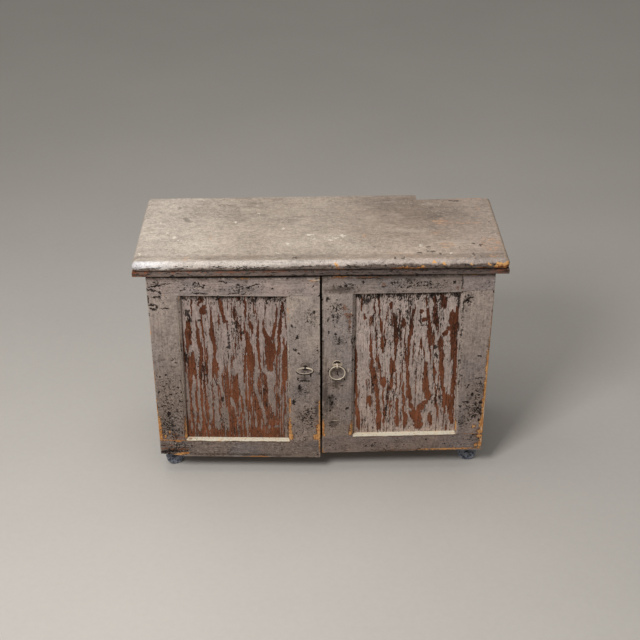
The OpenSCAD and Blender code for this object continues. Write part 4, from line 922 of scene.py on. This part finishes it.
def worn_and_lit_metal(name, dark, light, base=0.0):
    """Old cast metal: dark with handling, and bright where the mesh's value for it is high; that value
    stands partly for wear and partly for painted highlight and shade.
    """
    g = Graph(name)
    p = g.place()
    wear_and_light = g.kept("wear_and_light") + base + g.swing(p, 150, 3, 1) * 1.1
    pits = g.noise(p, 700, 2, 2)
    g.colour = g.mix(wear_and_light.ease(0.22, 0.72), dark, light)
    g.lay(pits.ease(0.58, 0.72, 0.0, 0.6), ink(44, 37, 30))
    return g.finish(wear_and_light.ease(0.3, 0.8, 0.58, 0.40), pits, 0.3, 0.25)


def zinc(name):
    """Zinc-plated pressed steel with spangle, dust and a little white rust."""
    g = Graph(name)
    p = g.place()
    spangle = Value(g, g.cells(p, 220).outputs["Distance"])
    dust = g.noise(p, 45, 3, 2)
    g.colour = g.tint(ink(134, 140, 152), 0.75 + spangle * 0.45)
    g.lay(dust.ease(0.48, 0.66, 0.0, 0.8), ink(70, 66, 66))
    metallic = dust.ease(0.70, 0.45, 0.2, 0.85)
    return g.finish(spangle.ease(0.0, 0.8, 0.34, 0.5), spangle * 0.4 + dust, 0.15, metallic)


def blue_rubber(name):
    """Blue-grey rubber, scuffed and dusty."""
    g = Graph(name)
    p = g.place()
    scuff = g.noise(p, 130, 3, 1)
    fine = g.noise(p, 800, 2, 2)
    g.colour = g.mix(scuff.ease(0.38, 0.62), ink(98, 106, 122), ink(168, 172, 184))
    g.lay(g.noise(p, 110, 3, 3).ease(0.54, 0.64, 0.0, 0.8), ink(46, 44, 46))
    g.colour = g.tint(g.colour, 0.7 + fine * 0.6)
    return g.finish(scuff.ease(0.3, 0.7, 0.55, 0.8), fine + scuff, 0.3)


# Meshes

def make_mesh(name, points, faces, material, matrix=None, edge=None, sharp=38.0, wear_and_light=None):
    """An object of points in mm, smooth but for its sharp edges."""
    mesh = bpy.data.meshes.new(name)
    mesh.from_pydata([tuple(row(*p)) for p in points], [], faces)
    mesh.validate()
    for key, values in (("edge", edge), ("wear_and_light", wear_and_light)):
        if values is not None:
            kept = mesh.attributes.new(key, "FLOAT", "POINT")
            kept.data.foreach_set("value", np.asarray(values, np.float32))
    mesh.polygons.foreach_set("use_smooth", [True] * len(mesh.polygons))
    mesh.set_sharp_from_angle(angle=radians(sharp))
    mesh.materials.append(material)
    obj = bpy.data.objects.new(name, mesh)
    bpy.context.scene.collection.objects.link(obj)
    if matrix is not None:
        obj.matrix_world = matrix
    return obj


def lines_along(low, high, r_low, r_high, step, extra):
    """Grid lines over one side of a slab: close where it rounds, and step mm apart elsewhere."""
    inner = (low + r_low, high - r_high)
    count = max(2, round((inner[1] - inner[0]) / step))
    lines = [*np.linspace(*inner, count + 1), inner[0] + 2, inner[1] - 2, *extra]
    for share in (0.0, 0.28, 0.55, 0.8, 1.0):
        lines += [low + r_low * share, high - r_high * share]
    lines = sorted(v for v in lines if low - 1e-6 <= v <= high + 1e-6)
    return np.array([v for i, v in enumerate(lines) if i == 0 or v - lines[i - 1] > 0.05])


def slab(low, high, radii, step, extra=((), (), ()), hidden=(), uneven=0.45, sway=0.25, seed=1):
    """A board in mm with worn arrises: points, quads and each point's distance to an exposed arris.
    radii gives the rounding at the low and high side of each axis, hidden the sides that lie in a joint,
    and extra more grid lines for each axis."""
    unworn = 30.0                         # added to the distance from a side that lies in a joint
    farthest = 25.0
    low, high = np.array(low, float), np.array(high, float)
    axes = [lines_along(low[a], high[a], *radii[a], step, extra[a]) for a in range(3)]
    shape = tuple(len(a) for a in axes)
    grid = np.stack(np.meshgrid(*axes, indexing="ij"), -1)
    skin = np.zeros(shape, bool)
    for a in range(3):
        for end in (0, -1):
            skin[tuple(end if i == a else slice(None) for i in range(3))] = True
    index = np.full(shape, -1)
    index[skin] = np.arange(skin.sum())
    p = grid[skin]
    swell = 1 - uneven * (0.5 + 0.5 * rough(p, 45, seed)) if uneven else np.ones(len(p))
    r_low = np.array([r[0] for r in radii]) * swell[:, None]
    r_high = np.array([r[1] for r in radii]) * swell[:, None]
    core = np.minimum(np.maximum(p, low + r_low), high - r_high)
    off = p - core
    r = np.where(off < 0, r_low, r_high)
    e = np.divide(off, r, out=np.zeros_like(off), where=r > 1e-9)
    most, length = np.abs(e).max(1), np.linalg.norm(e, axis=1)
    share = np.divide(most, length, out=np.ones_like(most), where=length > 1e-9)
    out = core + r * e * share[:, None]
    sides = []
    for a in range(3):
        sides.append(p[:, a] - low[a] + (unworn if (a, 0) in hidden else 0))
        sides.append(high[a] - p[:, a] + (unworn if (a, 1) in hidden else 0))
    edge = np.sort(np.array(sides), axis=0)[1].clip(0, farthest)
    if sway:
        out += sway * np.stack([rough(p, 90, seed + 1 + a) for a in range(3)], 1)
    faces = []
    for a in range(3):
        for end in (0, -1):
            f = index[tuple(end if i == a else slice(None) for i in range(3))]
            q = np.stack([f[:-1, :-1], f[1:, :-1], f[1:, 1:], f[:-1, 1:]], -1).reshape(-1, 4)
            faces.append(q if (end == -1) == (a != 1) else q[:, ::-1])
    return out, np.concatenate(faces), edge


class Door:
    """One door: u runs from its hinge edge to its meeting edge, and z up."""

    def __init__(self, side, z):
        joint = next(j for j in frame["joints"] if j["name"] == f"{side}_door_swing")
        hinge = Vector(joint["pos_m"])
        opened = Matrix.Rotation(radians(-joint["range_deg"][0]), 4, Vector(joint["axis"]))
        self.matrix = Matrix.Translation(hinge) @ opened @ Matrix.Translation(-hinge)
        self.side, self.z, self.body = side, z, f"{side}_door"
        self.sign = -1 if side == "left" else 1
        self.low, self.high = z[0] + BOTTOM_RAIL, z[1] - TOP_RAIL

    def x(self, u):
        return self.sign * (HALF_W - u)

    def spots(self, kinds):
        """The places of each kind, from (u, z) on the door in mm to (x, z) in metres."""
        return {kind: in_metres((self.x(u), z, wide, high, *(-self.sign * t for t in turn))
                                for u, z, wide, high, *turn in places) for kind, places in kinds.items()}

    def piece(self, name, points, faces, material, edge=None, sharp=38.0, wear_and_light=None):
        points = np.array(points, float)
        points[:, 0] = self.x(points[:, 0])
        if self.sign > 0:
            faces = [list(f)[::-1] for f in faces]
        faces = [list(map(int, f)) for f in faces]
        obj = make_mesh(name, points, faces, material, self.matrix, edge, sharp, wear_and_light)
        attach(obj, self.body)
        return obj

    def board(self, part, u, z, radii_u, radii_z, material, shape, hidden, extra, seed):
        """A board of the frame from its ranges of u and z, with shape as the last change of its points."""
        low, high = (u[0], DOOR_Y, z[0]), (u[1], DOOR_BACK_Y, z[1])
        points, faces, edge = slab(low, high, (radii_u, (1.6, 1.2), radii_z), 6.5, extra, hidden, seed=seed)
        if shape is not None:
            points = shape(points)
        obj = self.piece(f"{self.side}_{part}", points, faces, material, edge)
        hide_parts(f"{self.side}_door_{part}")


def leaning(z, low, high):
    """The u of a hinge stile's inner edge at heights z."""
    share = np.clip((z - low) / (high - low), 0, 1)
    return HINGE_STILE_LOW + (HINGE_STILE_TOP - HINGE_STILE_LOW) * share


def chamfered(points, inner, inward, seed):
    """Cuts the chamfer along a stile's inner edge: inner is its u, and inward points into the stile."""
    from_edge = (points[:, 0] - inner) * inward
    from_face = points[:, 1] - DOOR_Y
    size = CHAMFER + 0.8 * rough(points * (0, 0, 1), 38, seed)
    excess = np.clip(size - from_edge - from_face, 0, None)
    excess *= (from_edge > -3) & (from_face > -3)
    points[:, 0] += inward * excess / 2
    points[:, 1] += excess / 2
    return points


def seated(points, heights):
    """Lets the hinge leaves into the back face at each of heights."""
    for z in heights:
        inside = (np.abs(points[:, 2] - z) <= HINGE_H / 2 + 0.4) & (points[:, 0] <= LEAF_W + 3)
        points[inside & (points[:, 1] > DOOR_BACK_Y - 2), 1] -= SEAT_D
    return points


def seat_lines(heights):
    """Grid lines in z on both sides of each end of the leaves' seats."""
    return [z + s * (HINGE_H / 2 + d) for z in heights for s in (-1, 1) for d in (0.3, 0.5)]


def lathe(profile, count, centre):
    """Points and faces of a turned form: profile is (radius, height) toward the front."""
    points, faces = [], []
    for r, h in profile:
        for i in range(count):
            a = 2 * pi * i / count
            points.append((centre[0] + r * np.cos(a), centre[1] - h, centre[2] + r * np.sin(a)))
    for k in range(len(profile) - 1):
        for i in range(count):
            j = (i + 1) % count
            faces.append([k * count + i, k * count + j, (k + 1) * count + j, (k + 1) * count + i])
    faces.append(list(range(count))[::-1])
    faces.append([(len(profile) - 1) * count + i for i in range(count)])
    return points, faces


def ring_mesh(lift, glint, seed):
    """A hand-made ring, a little flat where it hangs in its eye."""
    turns, around = 72, 18
    eye_y = DOOR_Y - ROSETTE_H - EYE_OUT
    a = radians(lift)
    points, wear_and_light = [], []
    for i in range(turns):
        t = 2 * pi * i / turns
        wear = 0.30 * max(0.0, np.cos(t)) ** 8
        dent = noise.noise(Vector((np.cos(t) * 1.7, np.sin(t) * 1.7, seed)))
        wire = WIRE_R * (1 - wear * 0.35 + 0.035 * dent)
        for k in range(around):
            b = 2 * pi * k / around
            radius = RING_R + wire * np.cos(b)
            flat = np.array([radius * np.sin(t), wire * np.sin(b), radius * np.cos(t) - RING_R])
            y = flat[1] * np.cos(a) + flat[2] * np.sin(a)
            z = -flat[1] * np.sin(a) + flat[2] * np.cos(a)
            points.append((PULL_U + flat[0], eye_y + y, PULL_Z + z))
            # Painted light on the wire: its outer and rear side dark, its inner and front side bright, and
            # one end brighter by glint; this is more painted shade and highlight than wear.
            wear_and_light.append(0.34 - 0.35 * np.sin(b) - 0.75 * np.cos(b) + glint * np.cos(t))
    faces = []
    for i in range(turns):
        here, there = i * around, (i + 1) % turns * around
        for k in range(around):
            n = (k + 1) % around
            faces.append([here + k, here + n, there + n, there + k])
    return points, faces, wear_and_light


# Camera, light and floor

def aim_camera():
    camera = bpy.data.cameras.new("camera")
    camera.sensor_width = SENSOR
    camera.lens = FOCAL_PIXELS * SENSOR / IMAGE_PIXELS
    camera.clip_end = 100
    obj = bpy.data.objects.new("camera", camera)
    yaw = Matrix.Rotation(-radians(CAMERA_YAW), 4, "Z")
    pitch = Matrix.Rotation(radians(90 - CAMERA_PITCH), 4, "X")
    roll = Matrix.Rotation(radians(CAMERA_ROLL), 4, "Z")
    obj.matrix_world = Matrix.Translation((CAMERA_X, FRONT - CAMERA_AHEAD, CAMERA_Z)) @ yaw @ pitch @ roll
    bpy.context.scene.collection.objects.link(obj)
    bpy.context.scene.camera = obj


def add_lamp(name, place, size, watts):
    lamp = bpy.data.lights.new(name, "AREA")
    lamp.shape = "SQUARE"
    lamp.size = size
    lamp.energy = watts
    obj = bpy.data.objects.new(name, lamp)
    shift = Vector((0, FRONT, 0))
    turn = (Vector(LIT_PLACE) - Vector(place)).to_track_quat("-Z", "Y").to_matrix().to_4x4()
    obj.matrix_world = Matrix.Translation(Vector(place) + shift) @ turn
    bpy.context.scene.collection.objects.link(obj)


def light_scene():
    world = bpy.data.worlds.new("studio")
    world.use_nodes = True
    sky = world.node_tree.nodes["Background"]
    sky.inputs["Color"].default_value = SKY_COLOUR
    sky.inputs["Strength"].default_value = SKY
    bpy.context.scene.world = world
    add_lamp("key", **KEY)
    add_lamp("overhead", **OVERHEAD)
    bpy.context.scene.view_settings.view_transform = "Standard"


def lay_floor():
    """A pale floor that throws less light back on the object than it shows."""
    g = Graph("studio_floor")
    p = g.place()
    cloud = g.noise(p, 1.3, 4, 1)
    grit = g.noise(p, 60, 3, 2)
    rays = g.add("ShaderNodeLightPath")
    seen = Value(g, rays.outputs["Is Camera Ray"])
    for ray in ("Is Glossy Ray", "Is Transmission Ray"):
        seen = seen.most(Value(g, rays.outputs[ray]))
    g.colour = g.mix(seen, ink(150, 140, 130), ink(214, 208, 200))
    g.colour = g.tint(g.colour, 0.90 + cloud * 0.12 + grit * 0.08)
    material = g.finish(grit.ease(0.3, 0.7, 0.7, 0.85), grit, 0.3)
    corners = [(x * FLOOR_HALF, y * FLOOR_HALF, 0) for x, y in ((-1, -1), (1, -1), (1, 1), (-1, 1))]
    mesh = bpy.data.meshes.new("floor")
    mesh.from_pydata(corners, [], [(0, 1, 2, 3)])
    mesh.materials.append(material)
    obj = bpy.data.objects.new("floor", mesh)
    bpy.context.scene.collection.objects.link(obj)


def dress(node, material):
    """Gives a CAD node its procedural material."""
    obj = frame["nodes"][node]
    if not obj.material_slots:
        obj.data.materials.append(material)
    for slot in obj.material_slots:
        slot.material = material


# The object

def carcass_piece(name, node, material, points, faces, edge):
    """A worn board that stands for a CAD node of the carcass."""
    obj = make_mesh(name, points, faces.tolist(), material, edge=edge)
    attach(obj, "cabinet")
    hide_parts(node)


def worn_rear(points):
    """Wears the rear edge of the worktop beside the rear strip, and lets it run wider toward the right."""
    x, y = points[:, 0], points[:, 1]
    flare = np.clip((x - STRIP_END) / (HALF_TOP - STRIP_END), 0, 1)
    rear = np.where(x > STRIP_END + 0.1, -REAR_WEAR + (REAR_WEAR + REAR_FLARE) * flare, 0.0)
    points[:, 1] = y + rear * np.clip((y - REAR_BEND) / (TOP_D - REAR_BEND), 0, 1)
    points[:, 2] += 0.25 * rough(points, 60, 5)
    return points


def tapered(points):
    """Gives the rear strip its taper and its round left corner."""
    share = (points[:, 0] + HALF_TOP) / (STRIP_END + HALF_TOP)
    rear = STRIP_LEFT_Y + (STRIP_RIGHT_Y - STRIP_LEFT_Y) * share
    points[:, 1] = TOP_D + (points[:, 1] - TOP_D) * (rear - TOP_D) / (STRIP_RIGHT_Y - TOP_D)
    corner = np.array([-HALF_TOP + STRIP_CORNER_R, STRIP_LEFT_Y - STRIP_CORNER_R])
    off = points[:, :2] - corner
    reach = np.linalg.norm(off, axis=1)
    beyond = (off[:, 0] < 0) & (off[:, 1] > 0) & (reach > STRIP_CORNER_R)
    points[beyond, :2] = corner + off[beyond] * (STRIP_CORNER_R / reach[beyond])[:, None]
    return points


def build_worktop():
    material = worktop_paint("worktop_paint")
    rounded = (NOSE_R, NOSE_R)
    points, faces, edge = slab((-HALF_TOP, 0, TOP_Z), (HALF_TOP, TOP_D, TOP_Z + TOP_T),
                               (rounded, (NOSE_R, 0.0), rounded), 9.0,
                               ((STRIP_END, STRIP_END + 0.2), (), ()), uneven=0.16, sway=0.5, seed=3)
    carcass_piece("worktop", "top_board", material, worn_rear(points), faces, edge)
    points, faces, edge = slab((-HALF_TOP, TOP_D, TOP_Z), (STRIP_END, STRIP_RIGHT_Y, TOP_Z + TOP_T),
                               ((NOSE_R, 1.0), (0.0, 2.0), rounded), 8.0, uneven=0.16, sway=0.0, seed=9)
    points = tapered(points)
    carcass_piece("worktop_rear_strip", "top_rear_strip", material, points, faces, edge)


def mitred_front(points):
    """Cuts the ends of the front strip at 45 degrees."""
    depth = np.clip(points[:, 1] / UNDER_W, 0, 1)
    points[:, 0] *= 1 - depth * UNDER_W / HALF_TOP
    return points


def mitred_side(points):
    """Cuts the front end of a side strip at 45 degrees."""
    start = UNDER_W * np.clip((HALF_TOP - np.abs(points[:, 0])) / UNDER_W, 0, 1)
    points[:, 1] = start + points[:, 1] * (TOP_D - start) / TOP_D
    return points


def build_under_strips():
    material = strip_paint("under_strip_paint")
    inner = HALF_TOP - UNDER_W
    z = (TOP_Z - UNDER_H, TOP_Z)
    ends, out, back, rear = (1, 1), (4.5, 0.5), (0.5, 4.5), (0.5, 1)
    for name, x, depth, radii_x, radii_y, shape in (
        ("under_strip_front", (-HALF_TOP, HALF_TOP), UNDER_W, ends, out, mitred_front),
        ("under_strip_left", (-HALF_TOP, -inner), TOP_D, out, rear, mitred_side),
        ("under_strip_right", (inner, HALF_TOP), TOP_D, back, rear, mitred_side),
    ):
        low, high = (x[0], 0, z[0]), (x[1], depth, z[1])
        points, faces, edge = slab(low, high, (radii_x, radii_y, out), 8.0, seed=len(name))
        carcass_piece("worn_" + name, name, material, shape(points), faces, edge)


def broken_corner(points, low, seed):
    """Breaks the lower hinge corner of a bottom rail away, in a ragged line."""
    u, z = points[:, 0], points[:, 2]
    lift = np.interp(u, (-5, BREAK_L / 3, BREAK_L), (BREAK_H, BREAK_H * 0.8, 0))
    ragged = 1.3 * rough(points * (1, 0.3, 0), 9, seed) * (lift > 0.2)
    points[:, 2] = z + (lift + ragged) * np.clip(1 - (z - low) / BREAK_FADE, 0, 1)
    return points


def build_door(door, seed, block, greys, marks):
    """The frame of a door; block says whether its upper hinge corner has a block let in."""
    z0, z1 = door.z
    low, high = door.low, door.high
    hinges = LEFT_HINGES if door.side == "left" else RIGHT_HINGES
    inner_u = MEET_U - MEETING_STILE
    stile_top = high + (BLOCK_RISE if block else 0.0)
    face_lines = (DOOR_Y + CHAMFER / 2, DOOR_Y + CHAMFER)
    ends_hidden = ((2, 0), (2, 1))

    def paint(part, along, chips=1.0, arris=0.0, ledge=None):
        return painted(f"{door.side}_{part}_paint", *greys[part], along, arris, chips,
                       door.spots(marks.get(part, {})), ledge, seed + len(part))

    def hinge_stile_shape(points):
        points = seated(points, hinges)
        points[:, 0] *= leaning(points[:, 2], low, high) / HINGE_STILE_LOW
        return chamfered(points, leaning(points[:, 2], low, high), -1, seed)

    def meeting_stile_shape(points):
        return chamfered(points, inner_u, 1, seed + 3)

    def top_shape(points):
        return points if block else seated(points, hinges)

    def bottom_shape(points):
        if door.side == "left":
            points = broken_corner(points, z0, seed + 5)
        return seated(points, hinges)

    inner_lines = (HINGE_STILE_LOW - CHAMFER, HINGE_STILE_LOW - CHAMFER / 2, *LEAF_LINES)
    door.board("hinge_stile", (0, HINGE_STILE_LOW), (low, stile_top), (2.2, 0.6), (0.7, 0.7),
               paint("hinge_stile", "z", arris=1.8), hinge_stile_shape, ends_hidden,
               (inner_lines, face_lines, seat_lines(hinges)), seed + 1)
    door.board("meeting_stile", (inner_u, MEET_U), (low, high), (0.6, 2.4), (0.7, 0.7),
               paint("meeting_stile", "z", arris=1.8), meeting_stile_shape, ends_hidden,
               ((inner_u + CHAMFER / 2, inner_u + CHAMFER), face_lines, ()), seed + 2)
    start, round_start, hidden = (HINGE_STILE_TOP, 0.8, ((2, 0), (0, 0))) if block else (0, 2.0, ())
    door.board("top_rail", (start, MEET_U), (high, z1), (round_start, 2.0), (0.8, 2.2),
               paint("top_rail", "x", 1.05, 2.5), top_shape, hidden,
               (LEAF_LINES, (), seat_lines(hinges)), seed + 3)
    ledge = (*sorted((door.x(HINGE_STILE_LOW - 2) * MM, door.x(inner_u + 2) * MM)), low * MM)
    door.board("bottom_rail", (0, MEET_U), (z0, low), (2.2, 2.2), (2.4, 0.9),
               paint("bottom_rail", "x", 1.1, ledge=ledge), bottom_shape, ((2, 1),),
               ((*LEAF_LINES, *range(3, 80, 3)), (), seat_lines(hinges)), seed + 4)
    if block:
        door.board("corner_block", (0, HINGE_STILE_TOP), (stile_top, z1), (2.0, 0.9), (0.9, 2.2),
                   paint("corner_block", "x"), None, ((2, 0), (0, 1)), ((), (), ()), seed + 5)


def dress_panel(door, seed, floor_bare, tones, flames):
    """Paints a door's panel: floor_bare is how bare it is below, and tones are its paint, low and high."""
    wood = worn_panel(f"{door.side}_panel_wood", door, door.spots(flames), tones, seed, floor_bare)
    dress(f"{door.side}_door_panel", wood)


def rosette_wear_and_light(side, radius, height):
    """Wear and painted light over a rosette: the left is bare and dark along its bottom, partly as painted
    shade seen inside the ring, and the right is bright on its rim and its middle as painted highlight, with
    painted shade between.
    """
    if side == "left":
        return -0.3 if height > -6.0 else 1.2
    if radius > ROSETTE_R * 0.86:
        return 0.9
    return 0.95 if -8.0 < height < 4.0 else 0.05


def build_pull(door, lift, glint, seed, rosette_tones):
    side = door.side
    iron = worn_and_lit_metal(f"{side}_pull_iron", *rosette_tones)
    bright = worn_and_lit_metal(f"{side}_ring_metal", ink(46, 36, 30), ink(236, 220, 198))
    # The eye takes glint too: bright on the right as a painted highlight, dark on the left as painted
    # shade.
    eye = worn_and_lit_metal(f"{side}_eye_metal", ink(46, 36, 30), ink(230, 212, 190), glint + 0.45)
    centre = (PULL_U, DOOR_Y, PULL_Z)
    rim = [(0.985, 0.0), (1.0, 0.5), (0.985, 1.5), (0.94, 2.0), (0.89, 1.9), (0.85, 1.3), (0.80, 1.2),
           (0.70, 1.7), (0.55, 2.5), (0.40, 3.1), (0.30, 3.45)]
    profile = [*((ROSETTE_R * share, h) for share, h in rim), (3.6, ROSETTE_H), (3.2, 3.3)]
    points, faces = lathe(profile, 64, centre)
    wear_and_light = [rosette_wear_and_light(side, np.hypot(x - PULL_U, z - PULL_Z), z - PULL_Z) for x, _, z in points]
    rosette = door.piece(f"{side}_rosette", points, faces, iron, sharp=50, wear_and_light=wear_and_light)
    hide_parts(f"{side}_pull_rosette")
    collar = [(3.1, 2.9), (5.2, 3.0), (5.6, 3.6), (5.2, 4.3), (4.0, 4.8), (3.4, 5.6), (3.1, 6.4)]
    points, faces = lathe(collar, 40, centre)
    neck = door.piece(f"{side}_eye_collar", points, faces, eye, sharp=50, wear_and_light=[0.0] * len(points))
    dress(f"{side}_pull_eye", eye)
    points, faces, wear_and_light = ring_mesh(lift, glint, seed)
    ring = door.piece(f"{side}_ring", points, faces, bright, sharp=60, wear_and_light=wear_and_light)
    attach(ring, f"{side}_ring")
    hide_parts(f"{side}_pull_ring")


def build_nails(door, places):
    """Nail heads, a little domed and set just proud of the paint."""
    material = dark_iron(f"{door.side}_nail_iron")
    head = [(2.3, -0.6), (2.3, 0.15), (1.9, 0.45), (1.0, 0.62), (0.3, 0.66)]
    points, faces = [], []
    for u, z in places:
        part, sides = lathe(head, 16, (u, DOOR_Y, z))
        faces += [[i + len(points) for i in f] for f in sides]
        points += part
    obj = door.piece(f"{door.side}_nails", points, faces, material, sharp=60)


def dress_carcass():
    side_paint = painted("side_paint", *SIDE_GREYS, "z", None, 1.1, seed=40)
    pine_x, pine_y = old_pine("pine_level", "x"), old_pine("pine_deep", "y")
    for node in ("left_side", "right_side"):
        dress(node, side_paint)
    for node in ("bottom_board", "shelf", "top_front_rail", "top_rear_rail"):
        dress(node, pine_x)
    for seed, (side, tone) in enumerate((("left", 0.90), ("middle", 1.06), ("right", 0.97))):
        dress(f"back_board_{side}", old_pine(f"pine_back_{side}", "z", tone, 30 + seed * 10))
    for node in ("shelf_cleats", "caster_bearer_left", "caster_bearer_right"):
        dress(node, pine_y)
    iron, steel, rubber = dark_iron("hinge_iron"), zinc("zinc_steel"), blue_rubber("wheel_rubber")
    for node in frame["nodes"]:
        if "hinge" in node and "stile" not in node:
            dress(node, iron)
        elif node.startswith("caster_wheel"):
            dress(node, rubber)
        elif node.startswith("caster_") and "bearer" not in node:
            dress(node, steel)


aim_camera()
light_scene()
lay_floor()
dress_carcass()
build_worktop()
build_under_strips()
left, right = Door("left", LEFT_Z), Door("right", RIGHT_Z)
build_door(left, 11, False, LEFT_GREYS, LEFT_MARKS)
dress_panel(left, 11, 0.24, (ink(150, 132, 121), ink(178, 160, 151)), LEFT_FLAMES)
build_door(right, 60, True, RIGHT_GREYS, RIGHT_MARKS)
dress_panel(right, 60, -0.34, (ink(192, 171, 159), ink(199, 181, 171)), RIGHT_FLAMES)
build_pull(left, LEFT_LIFT, -0.35, 1, (ink(138, 124, 114), ink(60, 46, 37)))
build_pull(right, 0.0, 0.45, 2, (ink(56, 44, 36), ink(222, 204, 180)))
build_nails(left, ((52, 110.6), (57.6, 98.8), (220.5, 100.6), (375, 82.5)))
build_nails(right, ((60, 118), (66, 94), (250, 100), (470, 112)))
